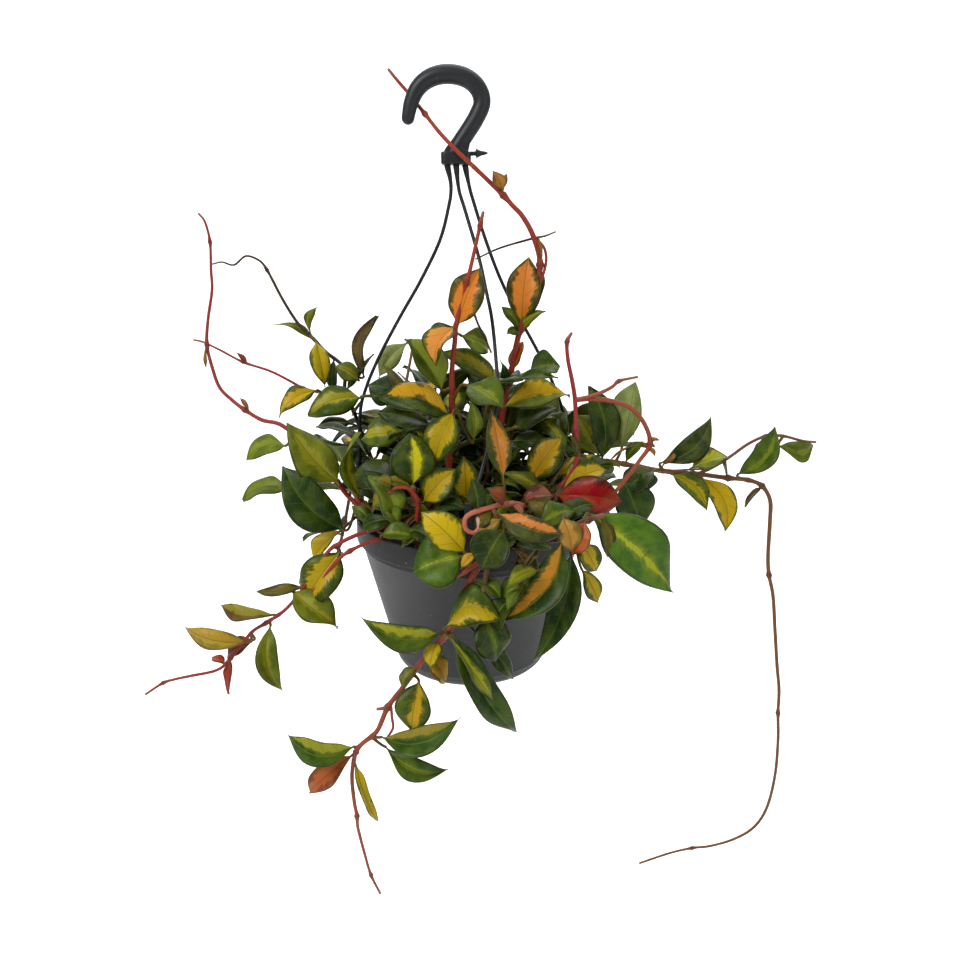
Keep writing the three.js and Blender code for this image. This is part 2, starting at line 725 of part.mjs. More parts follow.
const frontRight = {
  root: [30, -50],
  stems: [
    ["main", [2.5, 1.6], [4, 6],
      [[521, 541, -82], [540, 541, -94], [556, 538, -98], [574, 526, -96], [588, 520, -90],
        [602, 516, -86]]],
    ["down", [2, 1.5], [2], [[521, 562, -100], [523, 580, -104]], "main", 2],
    ["left", [1.9, 1.3], [2], [[516, 534, -99], [501, 522, -99], [494, 511, -97]], "main", 3],
  ],
  leaves: [
    ["main", 4, [499, 622, -114], 29, 30, -6, 18, [556, 542, -106], -5],
    ["main", 4.6, [537, 660, -98], 32, 20, -5, 12, [577, 553, -98], -4],
    ["main", 5.6, [672, 592, -70], 36, 15, 5, 12, [597, 528, -76], -4],
    ["main", 6, [573, 554, -92], 14, 30, 3, 15, [584, 522, -94]],
    ["main", 5, [596, 571, -92], 15, 25, 3, 15, [580, 543, -96]],
    ["main", 7, [608, 557, -84], 13, 35, 4, 20],
    ["left", 2, [560, 532, -112], 19, 45, 4, 18, [501, 515, -101]],
    ["main", 5, [598, 603, -88], 13, 35, 2, 15, [582, 570, -94]],
    ["left", 2, [480, 567, -108], 26, 25, 4, 18, [500, 530, -98]],
    ["down", 3, [509, 598, -110], 16, 40, 5, 25],
    ["down", 3, [534, 604, -116], 12, 45, 4, 20],
    ["left", 3, [482, 544, -92], 14, 30, 2, 12],
    ["down", 1.6, [514, 548, -112], 10, 50, 4, 35],
    ["down", 1.8, [538, 556, -116], 10, 50, 4, 35],
  ],
};

const rightVine = {
  root: [50, 8],
  stems: [
    ["main", [2, 0.9], [8, 10, 14, 19, 26],
      [[560, 490, 5], [580, 470, 2], [600, 461, 0], [640, 467, 0], [663, 471, 0], [697, 474, 0],
        [728, 478, 0], [748, 480, 0], [762, 486, 0], [770, 500, -1], [770, 520, -2],
        [768, 556, -4], [769, 575, -5], [773, 596, -5], [775, 630, -6], [777, 665, -7],
        [779, 690, -8], [778, 713, -8], [778, 740, -9], [775, 775, -10], [767, 807, -10],
        [754, 827, -10], [734, 839, -10], [710, 846, -10], [692, 848, -10], [670, 853, -10],
        [640, 863, -10]]],
    ["side", [1.3, 1], [4],
      [[715, 466, 6], [731, 456, 8], [748, 444, 9], [766, 436, 10], [783, 436, 10],
        [803, 441, 10], [815, 442, 10]], "main", 7],
  ],
  leaves: [
    ["main", 4.4, [635, 382, 14], 22, 30, 4, 22, [622, 447, 10], 3],
    ["main", 4.6, [644, 441, 2], 9, 40, 2, 15],
    ["main", 4, [589, 386, 10], 25, 25, 4, 15, [602, 458, 6], 4],
    ["main", 3.4, [577, 415, 24], 26, 30, 3, 12, [598, 454, 16]],
    ["main", 6, [624, 494, -14], 21, 35, 4, 15, [654, 471, -6]],
    ["main", 4, [590, 480, -22], 21, 40, 3, 12, [612, 464, -14]],
    ["main", 5, [646, 492, -10], 18, 40, 3, 12],
    ["main", 6, [711, 416, 6], 23, 25, 4, 18, [660, 463, 2], 5],
    ["main", 7, [730, 458, -8], 23, 45, 4, 20, [692, 468, -6]],
    ["main", 8, [712, 448, -4], 7, 50, 3, 25],
    ["main", 6.2, [707, 511, -10], 15, 35, 3, 20, null, -3],
    ["main", 7.1, [725, 531, -8], 20, 30, 4, 20, null, -4],
    ["main", 9, [775, 427, -4], 23, 25, 5, 20, [738, 474, -6], 5],
    ["side", 5, [813, 444, 16], 19, 40, 4, 20, [780, 450, 14], 3],
    ["main", 10, [745, 507, -6], 7, 40, 1, 20],
    ["side", 4, [752, 467, 12], 8, 50, 2, 25],
    ["main", 5, [640, 530, -20], 30, 25, 3, 12, [624, 482, -14]],
  ],
};

// The back of the plant: stems that rise from the soil, lean over the rim and hang, with leaves in
// pairs that stand off to either side and look up and outward.

const backStems = {
  hoya_back_left: { angle: 145, root: [-30, 44], reach: 150, drop: 75, seed: 11 },
  hoya_back_middle: { angle: 88, root: [4, 52], reach: 140, drop: 120, seed: 23 },
  hoya_back_right: { angle: 28, root: [36, 30], reach: 145, drop: 60, seed: 131 },
};
const backSteps = 8;
const backSpread = 0.8;
const backHeight = 8;
const backRise = 62;
const backLean = 1.15;
const backWander = 5;
const backRadii = [2.5, 1.1];
const backNodes = [4, 6, 8];
const backLeaf = {
  length: [38, 54],
  width: [19, 27],
  bow: [3, 7],
  swing: [48, 74],
  fold: 15,
  risingNearRoot: [0.5, 0.9],
  risingBeyond: [-0.35, 0.2],
  beyond: 4,
  youngFrom: 8,
  youngSize: 0.7,
  onNode: [-0.23, -0.07],
};

function backStem({ angle, root, reach, drop, seed }) {
  const draw = drawsFrom(seed);
  const outward = new THREE.Vector3(Math.cos(radians(angle)), Math.sin(radians(angle)), 0);
  const sideways = new THREE.Vector3(-outward.y, outward.x, 0);
  const start = new THREE.Vector3(root[0], root[1], 0).dot(outward);
  const offset = new THREE.Vector3(root[0], root[1], 0).dot(sideways);
  const places = rooted(root);
  for (let step = 1; step <= backSteps; step += 1) {
    const share = step / backSteps;
    const out = start + (reach - start) * Math.pow(share, backSpread);
    const climb = backRise * Math.sin(Math.PI * Math.min(1, share * backLean));
    const fall = drop * Math.pow(share, 3);
    places.push(
      outward
        .clone()
        .multiplyScalar(out)
        .addScaledVector(sideways, offset * (1 - share) + draw(-backWander, backWander))
        .setZ(soilTop + backHeight + climb - fall),
    );
  }
  const curve = smoothCurve(places);
  const solids = [stemSolid(curve, backRadii, backNodes)];
  for (let pair = 2; pair < places.length; pair += 1) {
    for (const side of [-1, 1]) {
      solids.push(backLeafSolid({ curve, pair, side, draw, outward, sideways }));
    }
  }
  return fused(solids);
}

function backLeafSolid({ curve, pair, side, draw, outward, sideways }) {
  const size = pair < backLeaf.youngFrom ? 1 : backLeaf.youngSize;
  const stem = pointOn(curve, pair + draw(...backLeaf.onNode));
  const length = draw(...backLeaf.length) * size;
  const swing = radians(side * draw(...backLeaf.swing));
  const rising = pair < backLeaf.beyond ? backLeaf.risingNearRoot : backLeaf.risingBeyond;
  const direction = outward
    .clone()
    .multiplyScalar(Math.cos(swing))
    .addScaledVector(sideways, Math.sin(swing))
    .setZ(draw(...rising))
    .normalize();
  const tip = stem.clone().addScaledVector(direction, length);
  const base = stem.clone().lerp(tip, petioleShare);
  const up = outward.clone().multiplyScalar(0.5).setZ(0.9);
  const wide = draw(...backLeaf.width) * size;
  const bow = draw(...backLeaf.bow);
  const { fold } = backLeaf;
  return leafSolid({ stem, base, tip, wide, up, bow, bend: 0, fold, wave: pair * side });
}

const leafGreen = new THREE.MeshStandardMaterial({ color: 0x4f7a2c, roughness: 0.4, metalness: 0 });
const laidOut = {
  hoya_tall_left: tallLeftVine,
  hoya_upper_left: upperLeftVine,
  hoya_lower_left: lowerLeftVine,
  hoya_front: frontVine,
  hoya_left_crown: leftCrown,
  hoya_right_crown: rightCrown,
  hoya_middle_right: middleRight,
  hoya_front_right: frontRight,
  hoya_right: rightVine,
};
const plant = [];
for (const [name, layout] of Object.entries(laidOut)) {
  plant.push(meshOf(name, leafyStem(layout), leafGreen.clone()));
}
for (const [name, layout] of Object.entries(backStems)) {
  plant.push(meshOf(name, backStem(layout), leafGreen.clone()));
}

// Soil: fills the pot to a little below its rim, with a rough top and a hole for each stem.

const pottingMix = new THREE.MeshStandardMaterial({ color: 0x2c211a, roughness: 0.95, metalness: 0 });

function soilSolid() {
  const floor = baseBevel + wall + clearance;
  const inset = wall + 2 * clearance;
  const inside = (height) => (wallRadius(height) - inset) * Math.cos(Math.PI / soilSides);
  const rings = [
    [inside(floor) - soilInset, floor],
    [inside(bandBase), bandBase],
    [inside(bandBase) - clearance, soilTop - soilDip],
  ];
  for (let ring = soilRings - 1; ring > 0; ring -= 1) {
    rings.push([(inside(bandBase) * ring) / soilRings, soilTop - soilDip]);
  }
  const points = [new THREE.Vector3(0, 0, floor)];
  rings.forEach(([radius, height], ring) => {
    for (let side = 0; side < soilSides; side += 1) {
      const angle = (2 * Math.PI * side) / soilSides;
      const point = new THREE.Vector3(radius * Math.cos(angle), radius * Math.sin(angle), height);
      point.z += ring < 2 ? 0 : roughness(point);
      points.push(point);
    }
  });
  const top = new THREE.Vector3(0, 0, soilTop);
  top.z += roughness(top);
  points.push(top);
  const last = 1 + (rings.length - 1) * soilSides;
  const triangles = [];
  for (let side = 0; side < soilSides; side += 1) {
    const next = (side + 1) % soilSides;
    triangles.push(0, 1 + next, 1 + side);
    for (let low = 1; low < last; low += soilSides) {
      const high = low + soilSides;
      triangles.push(low + side, low + next, high + next, low + side, high + next, high + side);
    }
    triangles.push(last + side, last + next, points.length - 1);
  }
  let solid = solidOf(geometryOf(points, triangles));
  for (const { root } of [...Object.values(laidOut), ...Object.values(backStems)]) {
    const hole = new THREE.CylinderGeometry(
      stemHoleRadius,
      stemHoleRadius,
      2 * stemHoleDepth,
      stemHoleSides,
    );
    hole.rotateX(Math.PI / 2);
    hole.translate(root[0], root[1], soilTop);
    solid = solid.subtract(solidOf(hole));
  }
  return solid;
}

function roughness({ x, y }) {
  return soilRoughness * Math.sin(x * 0.21 + 1) * Math.cos(y * 0.17 + x * 0.05);
}

const soil = meshOf("soil", soilSolid(), pottingMix);

// The whole, moved so that its origin is the inside of the hook's crown.
const part = new THREE.Group();
part.add(pot, soil, hook, ...strands, ...plant);
part.position.set(-hookCrownX, 0, -hookSeatHeight);
const placed = new THREE.Group();
placed.add(part);

export default placed;
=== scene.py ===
# Potted hoya: a trailing plant with waxy variegated leaves, in a tapered pot that hangs by three
# strands from a moulded hook. Everything is made in millimetres from the middle of the pot's base
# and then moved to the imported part's own frame.

import math
import random

import bpy
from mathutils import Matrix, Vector, noise


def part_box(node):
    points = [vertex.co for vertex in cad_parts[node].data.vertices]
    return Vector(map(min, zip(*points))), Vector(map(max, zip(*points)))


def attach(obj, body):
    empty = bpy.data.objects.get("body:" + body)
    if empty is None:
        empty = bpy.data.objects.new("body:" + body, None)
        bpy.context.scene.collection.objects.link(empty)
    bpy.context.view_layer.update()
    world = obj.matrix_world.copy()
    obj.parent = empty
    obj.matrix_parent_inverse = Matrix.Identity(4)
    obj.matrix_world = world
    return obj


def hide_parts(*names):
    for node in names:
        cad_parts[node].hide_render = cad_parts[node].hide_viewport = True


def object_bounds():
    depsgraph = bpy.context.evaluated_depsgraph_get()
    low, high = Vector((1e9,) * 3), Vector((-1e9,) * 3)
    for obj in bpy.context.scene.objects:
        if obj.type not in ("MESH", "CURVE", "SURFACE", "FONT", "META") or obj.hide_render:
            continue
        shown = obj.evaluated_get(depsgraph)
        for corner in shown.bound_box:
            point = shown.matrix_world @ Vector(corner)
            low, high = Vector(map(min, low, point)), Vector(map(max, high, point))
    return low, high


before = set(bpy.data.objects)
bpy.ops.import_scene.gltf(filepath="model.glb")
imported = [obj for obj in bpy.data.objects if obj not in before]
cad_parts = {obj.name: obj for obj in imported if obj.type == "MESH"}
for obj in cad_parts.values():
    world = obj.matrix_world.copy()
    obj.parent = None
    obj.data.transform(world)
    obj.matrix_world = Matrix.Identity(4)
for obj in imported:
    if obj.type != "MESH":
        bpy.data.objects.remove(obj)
packed_bounds = [list(corner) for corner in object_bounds()]


# Camera: it stands in front of the pot, a little above the rim, and looks down at it. The plant is
# laid out in what it sees, so a place is given across and down a square of 960 units, with its
# depth in millimetres behind the pot's axis.
VIEW_SIZE = 960
VIEW_REACH = 840
EYE = Vector((7, -600, 310))
EYE_TILT = math.radians(15.8)
SENSOR_WIDTH = 36

pot_low, pot_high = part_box("pot")
pot_base = Vector(((pot_low.x + pot_high.x) / 2, (pot_low.y + pot_high.y) / 2, pot_low.z))


def in_row(point):
    return pot_base + point / 1000


def seen(place):
    across, down, depth = place
    right = (across - VIEW_SIZE / 2) / VIEW_REACH
    up = (VIEW_SIZE / 2 - down) / VIEW_REACH
    ray = Vector((
        right,
        math.cos(EYE_TILT) + up * math.sin(EYE_TILT),
        up * math.cos(EYE_TILT) - math.sin(EYE_TILT),
    ))
    return EYE + ray * ((depth - EYE.y) / ray.y)


camera_data = bpy.data.cameras.new("camera")
camera_data.sensor_width = SENSOR_WIDTH
camera_data.lens = SENSOR_WIDTH * VIEW_REACH / VIEW_SIZE
camera = bpy.data.objects.new("camera", camera_data)
camera.location = in_row(EYE)
camera.rotation_euler = (math.pi / 2 - EYE_TILT, 0, 0)
bpy.context.collection.objects.link(camera)
bpy.context.scene.camera = camera


# Pot: one thin moulding of dark grey plastic with a bevelled base and a step out to a darker rim
# band. Its edges are rounded, and faint rings are moulded round its wall and under its base.
RIM_RADIUS = 85
POT_HEIGHT = 115
BAND_BASE = 100
WALL_TOP = 82
WALL_FOOT = 57
BASE_BEVEL = 4
POT_WALL = 2
POT_SIDES = 144
BASE_RECESS = 0.8
BASE_RING = (20, 20.6, 22.4, 23)
BASE_STEP = (44, 45)
WALL_RINGS = (8, 94.5)
WALL_RING_SHAPE = ((0, 0), (0.5, 0.3), (1.1, 0.3), (1.7, 0))
RING_EASE = (0.2, 0.3)
FOOT_EASES = (1, 1.5)
BAND_EASES = (0.5, 0.7, 0.8)
BAND_MARK_EDGE = (0.2, 0.8)
BAND_WAIST = (0.2, 108)
AXIS_GAP = 0.5
ROUNDING_STEPS = 4
POT_GREY = (47, 48, 48)
BAND_GREY = (33, 34, 32)
DUST_GREY = (170, 168, 160)
CLOUD_SCALE = 22
DUST_SCALE = 620
PLASTIC_GLOSS = 0.35


class Skin:
    """The points and faces of one piece, with values at its points for its material."""

    def __init__(self):
        self.points = []
        self.faces = []
        self.marks = {}

    def tube(self, rings, marks=None):
        """A closed skin over rings of points. Each mark has a value for every point."""
        first = len(self.points)
        count = len(rings[0])
        for ring in rings:
            self.points.extend(ring)
        for name, values in (marks or {}).items():
            self.marks.setdefault(name, []).extend(values)
        for low in range(first, first + (len(rings) - 1) * count, count):
            for side in range(count):
                after = (side + 1) % count
                self.faces.append((low + side, low + after, low + count + after, low + count + side))
        last = first + (len(rings) - 1) * count
        self.faces.append(tuple(range(first + count - 1, first - 1, -1)))
        self.faces.append(tuple(range(last, last + count)))

    def piece(self, name, material, slot, nodes=()):
        """The finished object: it rides on the part's body and stands for the nodes named."""
        mesh = bpy.data.meshes.new(name)
        mesh.from_pydata([in_row(point) for point in self.points], [], self.faces)
        mesh.shade_smooth()
        for mark, values in self.marks.items():
            kind, field = ("FLOAT_COLOR", "color") if len(values[0]) == 4 else ("FLOAT_VECTOR", "vector")
            layer = mesh.attributes.new(mark, kind, "POINT")
            layer.data.foreach_set(field, [number for value in values for number in value])
        mesh.materials.append(material)
        made = bpy.data.objects.new(name, mesh)
        bpy.context.collection.objects.link(made)
        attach(made, "root")
        if nodes:
            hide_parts(*nodes)
        return made


def linear(colour):
    return tuple((part / 255) ** 2.2 for part in colour)


def feed(tree, made, inputs):
    """Gives a shader node its inputs: another node's output is linked, a plain value is set."""
    for name, value in inputs.items():
        if isinstance(value, bpy.types.NodeSocket):
            tree.links.new(value, made.inputs[name])
        else:
            made.inputs[name].default_value = value


def node(tree, kind, inputs=None, **settings):
    made = tree.nodes.new(kind)
    for name, value in settings.items():
        setattr(made, name, value)
    feed(tree, made, inputs or {})
    return made


def sums(tree, operation, *values):
    return node(tree, "ShaderNodeMath", dict(enumerate(values)), operation=operation).outputs[0]


def between(tree, value, low, high, to_low=0, to_high=1):
    """The value eased from one range to another, and held at its ends."""
    settings = {0: value, 1: low, 2: high, 3: to_low, 4: to_high}
    return node(tree, "ShaderNodeMapRange", settings, interpolation_type="SMOOTHSTEP").outputs[0]


def opaque(colour):
    return (*linear(colour), 1)


def painted(tree, shade, *layers):
    """The shade with more colours laid over it, each as far as its mask says."""
    for mask, colour in layers:
        inputs = {0: mask, 6: shade, 7: opaque(colour) if isinstance(colour, tuple) else colour}
        shade = node(tree, "ShaderNodeMix", inputs, data_type="RGBA").outputs[2]
    return shade


def noise_at(tree, vector, scale, detail=3, roughness=0.5):
    inputs = {"Vector": vector, "Scale": scale, "Detail": detail, "Roughness": roughness}
    return node(tree, "ShaderNodeTexNoise", inputs).outputs[0]


def new_material(name):
    material = bpy.data.materials.new(name)
    material.use_nodes = True
    tree = material.node_tree
    tree.nodes.clear()
    shader = tree.nodes.new("ShaderNodeBsdfPrincipled")
    output = tree.nodes.new("ShaderNodeOutputMaterial")
    tree.links.new(shader.outputs[0], output.inputs[0])
    return material, tree, shader


def new_group(name, inputs, outputs):
    tree = bpy.data.node_groups.new(name, "ShaderNodeTree")
    for label, kind in inputs:
        tree.interface.new_socket(label, in_out="INPUT", socket_type=kind)
    for label, kind in outputs:
        tree.interface.new_socket(label, in_out="OUTPUT", socket_type=kind)
    return tree, tree.nodes.new("NodeGroupInput").outputs, tree.nodes.new("NodeGroupOutput").inputs


def bump(tree, height, depth):
    inputs = {"Height": height, "Distance": depth, "Strength": 1}
    return node(tree, "ShaderNodeBump", inputs).outputs[0]


# The grain of moulded plastic: a fine pebbling, soft cloudy wear, and stray specks of dust.
moulded, grain_in, grain_out = new_group(
    "moulded grain",
    [("Vector", "NodeSocketVector"), ("Fineness", "NodeSocketFloat")],
    [("Height", "NodeSocketFloat"), ("Cloud", "NodeSocketFloat"), ("Specks", "NodeSocketFloat")],
)
moulded.links.new(noise_at(moulded, grain_in["Vector"], grain_in["Fineness"], 4, 0.6), grain_out["Height"])
moulded.links.new(noise_at(moulded, grain_in["Vector"], CLOUD_SCALE, 4, 0.6), grain_out["Cloud"])
dust = noise_at(moulded, grain_in["Vector"], DUST_SCALE, 2, 0.4)
moulded.links.new(between(moulded, dust, 0.73, 0.78), grain_out["Specks"])


def plastic(name, colour, roughness, fineness, depth, worn, specks, band=None):
    """A moulded plastic. Where the piece is marked as its band, it takes the band's colour."""
    material, tree, shader = new_material(name)
    where = node(tree, "ShaderNodeTexCoord").outputs["Object"]
    inputs = {"Vector": where, "Fineness": fineness}
    height, cloud, dust = node(tree, "ShaderNodeGroup", inputs, node_tree=moulded).outputs
    dark = tuple(part * (1 - worn) for part in colour)
    light = tuple(min(255, part * (1 + worn)) for part in colour)
    shade = painted(tree, opaque(dark), (between(tree, cloud, 0.3, 0.7), light))
    if band:
        mark = node(tree, "ShaderNodeAttribute", attribute_name="band").outputs["Fac"]
        shade = painted(tree, shade, (mark, band))
    feed(tree, shader, {
        "Base Color": painted(tree, shade, (sums(tree, "MULTIPLY", dust, specks), DUST_GREY)),
        "Roughness": between(tree, cloud, 0.25, 0.75, roughness - 0.06, roughness + 0.08),
        "Specular IOR Level": PLASTIC_GLOSS,
        "Normal": bump(tree, height, depth),
    })
    return material


def rounded(corners):
    """A profile with its corners rounded. Each corner is (radius, height, rounding)."""
    line = []
    for place, (x, z, rounding) in enumerate(corners):
        corner = Vector((x, z))
        if not rounding:
            line.append(corner)
            continue
        before = Vector(corners[place - 1][:2])
        after = Vector(corners[(place + 1) % len(corners)][:2])
        start = corner + (before - corner).normalized() * rounding
        end = corner + (after - corner).normalized() * rounding
        for step in range(ROUNDING_STEPS + 1):
            share = step / ROUNDING_STEPS
            line.append(start * (1 - share) ** 2 + corner * 2 * share * (1 - share) + end * share**2)
    return line


def turned(skin, profile, sides, marks=None, wobble=None):
    """Turns a profile of (radius, height) about the pot's axis."""
    rings = []
    for number, (radius, height) in enumerate(profile):
        ring = []
        for side in range(sides):
            angle = 2 * math.pi * side / sides
            point = Vector((radius * math.cos(angle), radius * math.sin(angle), height))
            ring.append(wobble(point, number) if wobble else point)
        rings.append(ring)
    skin.tube(rings, {
        name: [value for value in line for _ in range(sides)]
        for name, line in (marks or {}).items()
    })


def wall_radius(height):
    return WALL_FOOT + (WALL_TOP - WALL_FOOT) * (height - BASE_BEVEL) / (BAND_BASE - BASE_BEVEL)


pot_corners = [(AXIS_GAP, BASE_RECESS, 0), (BASE_RING[0], BASE_RECESS, 0)]
pot_corners += [(BASE_RING[1], 0, RING_EASE[0]), (BASE_RING[2], 0, RING_EASE[0])]
pot_corners += [(BASE_RING[3], BASE_RECESS, 0)]
pot_corners += [(BASE_STEP[0], BASE_RECESS, 0), (BASE_STEP[1], 0, RING_EASE[1])]
pot_corners += [(WALL_FOOT - BASE_BEVEL, 0, FOOT_EASES[0]), (WALL_FOOT, BASE_BEVEL, FOOT_EASES[1])]
for ring in WALL_RINGS:
    pot_corners += [(wall_radius(ring + rise) + out, ring + rise, 0) for rise, out in WALL_RING_SHAPE]
inner_ease, step_ease, rim_ease = BAND_EASES
pot_corners += [(WALL_TOP, BAND_BASE, inner_ease), (RIM_RADIUS, BAND_BASE, step_ease)]
pot_corners += [(RIM_RADIUS - BAND_WAIST[0], BAND_WAIST[1], 0), (RIM_RADIUS, POT_HEIGHT, rim_ease)]
pot_corners += [(RIM_RADIUS - POT_WALL, POT_HEIGHT, rim_ease)]
for radius, height in ((RIM_RADIUS, BAND_BASE), (WALL_TOP, BAND_BASE), (WALL_FOOT, BASE_BEVEL)):
    pot_corners.append((radius - POT_WALL, height + POT_WALL, inner_ease))
pot_corners.append((AXIS_GAP, BASE_BEVEL + POT_WALL, 0))
pot_profile = rounded(pot_corners)
mark_radius, mark_height = WALL_TOP - BAND_MARK_EDGE[0], BAND_BASE - BAND_MARK_EDGE[1]
in_band = [
    (1.0, 0, 0) if height > mark_height and radius > mark_radius else (0.0, 0, 0)
    for radius, height in pot_profile
]
pot_skin = Skin()
turned(pot_skin, pot_profile, POT_SIDES, {"band": in_band})
pot_plastic = plastic(
    "dark pot plastic", POT_GREY, roughness=0.5, fineness=900, depth=0.00006, worn=0.1, specks=0.5,
    band=BAND_GREY,
)
pot_skin.piece("pot_moulding", pot_plastic, "pot", ["pot"])


# Potting mix: a lumpy bed of dark compost that fills the pot to just below its band, with chips
# of bark and grains of pumice half sunk in its surface.
SOIL_TOP = 103
SOIL_DIP = 2
SOIL_ROUGHNESS = 2.2
SOIL_WAVE_SHARE = 0.8
SOIL_WAVES = (0.21, 0.17, 0.05)
SOIL_LUMP_SCALE = 0.16
SOIL_LUMP_HEIGHT = 1.5
SOIL_FLOOR = 6.3
SOIL_INSET = 2.7
SOIL_SIDES = 96
SOIL_RINGS = 30
SOIL_FLAT_RINGS = 3
COMPOST_DARK = (22, 16, 12)
COMPOST_BROWN = (66, 50, 38)
CLOD_BROWN = (44, 36, 26)
CHIPS = 170
CHIP_SIDES = 8
CHIP_RINGS = 7
CHIP_EDGE = 5
CHIP_STRETCH = ((0.8, 1.5), (0.5, 0.9), (0.3, 0.7))
CHIP_KNOBS = (0.35, 1.3)
CHIP_LIFT = 0.2
CHIP_CREVICE = (30, 20, 14)
BARK_SIZE = (1.6, 3.4)
BARK_TINTS = [(92, 62, 40), (70, 46, 30), (112, 80, 52)]
PUMICE_EVERY = 9
PUMICE_SIZE = (0.9, 1.6)
PUMICE_TINTS = [(176, 166, 146)]


def soil_height(x, y):
    aside, away, skew = SOIL_WAVES
    waves = SOIL_ROUGHNESS * math.sin(x * aside + 1) * math.cos(y * away + x * skew)
    lumps = noise.fractal(Vector((x, y, 4)) * SOIL_LUMP_SCALE, 0.8, 2.1, 4) * SOIL_LUMP_HEIGHT
    return SOIL_TOP - SOIL_DIP + waves * SOIL_WAVE_SHARE + lumps


def crumbled(point, number):
    if number < SOIL_FLAT_RINGS:
        return point
    edge = math.hypot(point.x, point.y) / (wall_radius(BAND_BASE) - SOIL_INSET)
    point.z = min(soil_height(point.x, point.y), SOIL_TOP + 1 + 3 * (1 - edge))
    return point


soil_edge = wall_radius(BAND_BASE) - SOIL_INSET
soil_profile = [(AXIS_GAP, SOIL_FLOOR), (wall_radius(SOIL_FLOOR) - SOIL_INSET - 1, SOIL_FLOOR)]
soil_profile += [(wall_radius(BAND_BASE - 4) - SOIL_INSET, BAND_BASE - 4), (soil_edge, SOIL_TOP)]
soil_profile += [(soil_edge * ring / SOIL_RINGS, SOIL_TOP) for ring in range(SOIL_RINGS - 1, 0, -1)]
soil_skin = Skin()
turned(soil_skin, soil_profile, SOIL_SIDES, wobble=crumbled)


def pebble(skin, centre, size, dice, tint):
    """A knobbly chip with flattened sides."""
    turn = dice.uniform(0, math.pi)
    stretch = Vector([dice.uniform(*span) for span in CHIP_STRETCH]) * size
    seed = Vector((dice.uniform(0, 99), dice.uniform(0, 99), 0))
    rings = []
    for ring in range(CHIP_RINGS):
        lean = math.pi * (ring + 0.25) / (CHIP_RINGS - 0.5) - math.pi / 2
        points = []
        for side in range(CHIP_SIDES):
            angle = 2 * math.pi * side / CHIP_SIDES
            level = math.cos(lean)
            point = Vector((math.cos(angle) * level, math.sin(angle) * level, math.sin(lean)))
            point *= 1 + CHIP_KNOBS[0] * noise.noise(point * CHIP_KNOBS[1] + seed)
            point = Vector((point.x * stretch.x, point.y * stretch.y, point.z * stretch.z))
            point = Vector((
                point.x * math.cos(turn) - point.y * math.sin(turn),
                point.x * math.sin(turn) + point.y * math.cos(turn),
                point.z,
            ))
            points.append(centre + point)
        rings.append(points)
    skin.tube(rings, {"chip_tint": [tint] * (CHIP_RINGS * CHIP_SIDES)})


compost, tree, shader = new_material("compost")
where = node(tree, "ShaderNodeTexCoord").outputs["Object"]
crumbs = noise_at(tree, where, 260, 5, 0.65)
clods = noise_at(tree, where, 60, 3, 0.5)
shade = painted(
    tree, opaque(COMPOST_DARK),
    (between(tree, crumbs, 0.35, 0.65), COMPOST_BROWN),
    (between(tree, clods, 0.45, 0.7, 0, 0.5), CLOD_BROWN),
)
feed(tree, shader, {"Base Color": shade, "Roughness": 0.95, "Normal": bump(tree, crumbs, 0.0012)})
soil_skin.piece("compost_bed", compost, "soil", ["soil"])

chip_bark, tree, shader = new_material("bark and pumice")
where = node(tree, "ShaderNodeTexCoord").outputs["Object"]
fibres = noise_at(tree, where, 420, 4, 0.6)
tint = node(tree, "ShaderNodeAttribute", attribute_name="chip_tint").outputs["Color"]
shade = painted(tree, tint, (between(tree, fibres, 0.35, 0.7, 0, 0.65), CHIP_CREVICE))
feed(tree, shader, {"Base Color": shade, "Roughness": 0.9, "Normal": bump(tree, fibres, 0.0006)})
chip_skin = Skin()
dice = random.Random(7)
for number in range(CHIPS):
    reach = (soil_edge - CHIP_EDGE) * math.sqrt(dice.random())
    angle = dice.uniform(0, 2 * math.pi)
    x, y = reach * math.cos(angle), reach * math.sin(angle)
    pumice = number % PUMICE_EVERY == 0
    size = dice.uniform(*(PUMICE_SIZE if pumice else BARK_SIZE))
    tint = opaque(dice.choice(PUMICE_TINTS if pumice else BARK_TINTS))
    pebble(chip_skin, Vector((x, y, soil_height(x, y) + size * CHIP_LIFT)), size, dice, tint)
chip_skin.piece("bark_chips", chip_bark, "soil")


# Hook: a thick round bar of black plastic bent into a crown, rounded at its free end. It stands on
# a block that the strands are socketed in, and a barbed pin sticks out beside the block.
HOOK_LINE = [
    (408, 118, 4.3), (411, 103, 4.9), (418, 88, 5.5), (430, 78, 5.9), (446, 74, 6.1),
    (464, 77, 6.1), (477, 87, 5.9), (482, 102, 5.8), (476, 118, 5.7), (466, 134, 5.7),
    (457, 148, 5.8), (452, 159, 6),
]
HOOK_SIDES = 24
HOOK_STEPS = 6
DOME_STEPS = 5
FOOT_CENTRE = (-9, 0)
FOOT_HALF = (10, 7)
FOOT_BASE = 360
FOOT_HEIGHT = 8
FOOT_CORNER = 3
FOOT_CORNER_STEPS = 6
FOOT_EASE = 1.2
FOOT_EASE_STEPS = 4
FOOT_SOLE_INSET = 1.2
WEDGE = [(0, 1.8, 0), (2.5, 2.3, 1), (5.5, 3.2, 2.6), (8.5, 4.4, 5)]
BARB_LINE = ((462, 154, 0), (488, 153, 0))
BARB_SHAPE = [
    (0, 1.5), (0.2, 1.45), (0.5, 1.4), (0.52, 1.5), (0.54, 2.8), (0.56, 3.05), (0.6, 2.7),
    (0.68, 2), (0.76, 1.5), (0.88, 1.15), (0.95, 0.8), (1, 0.2),
]
BARB_SIDES = 16
HANGER_BLACK = (29, 31, 34)


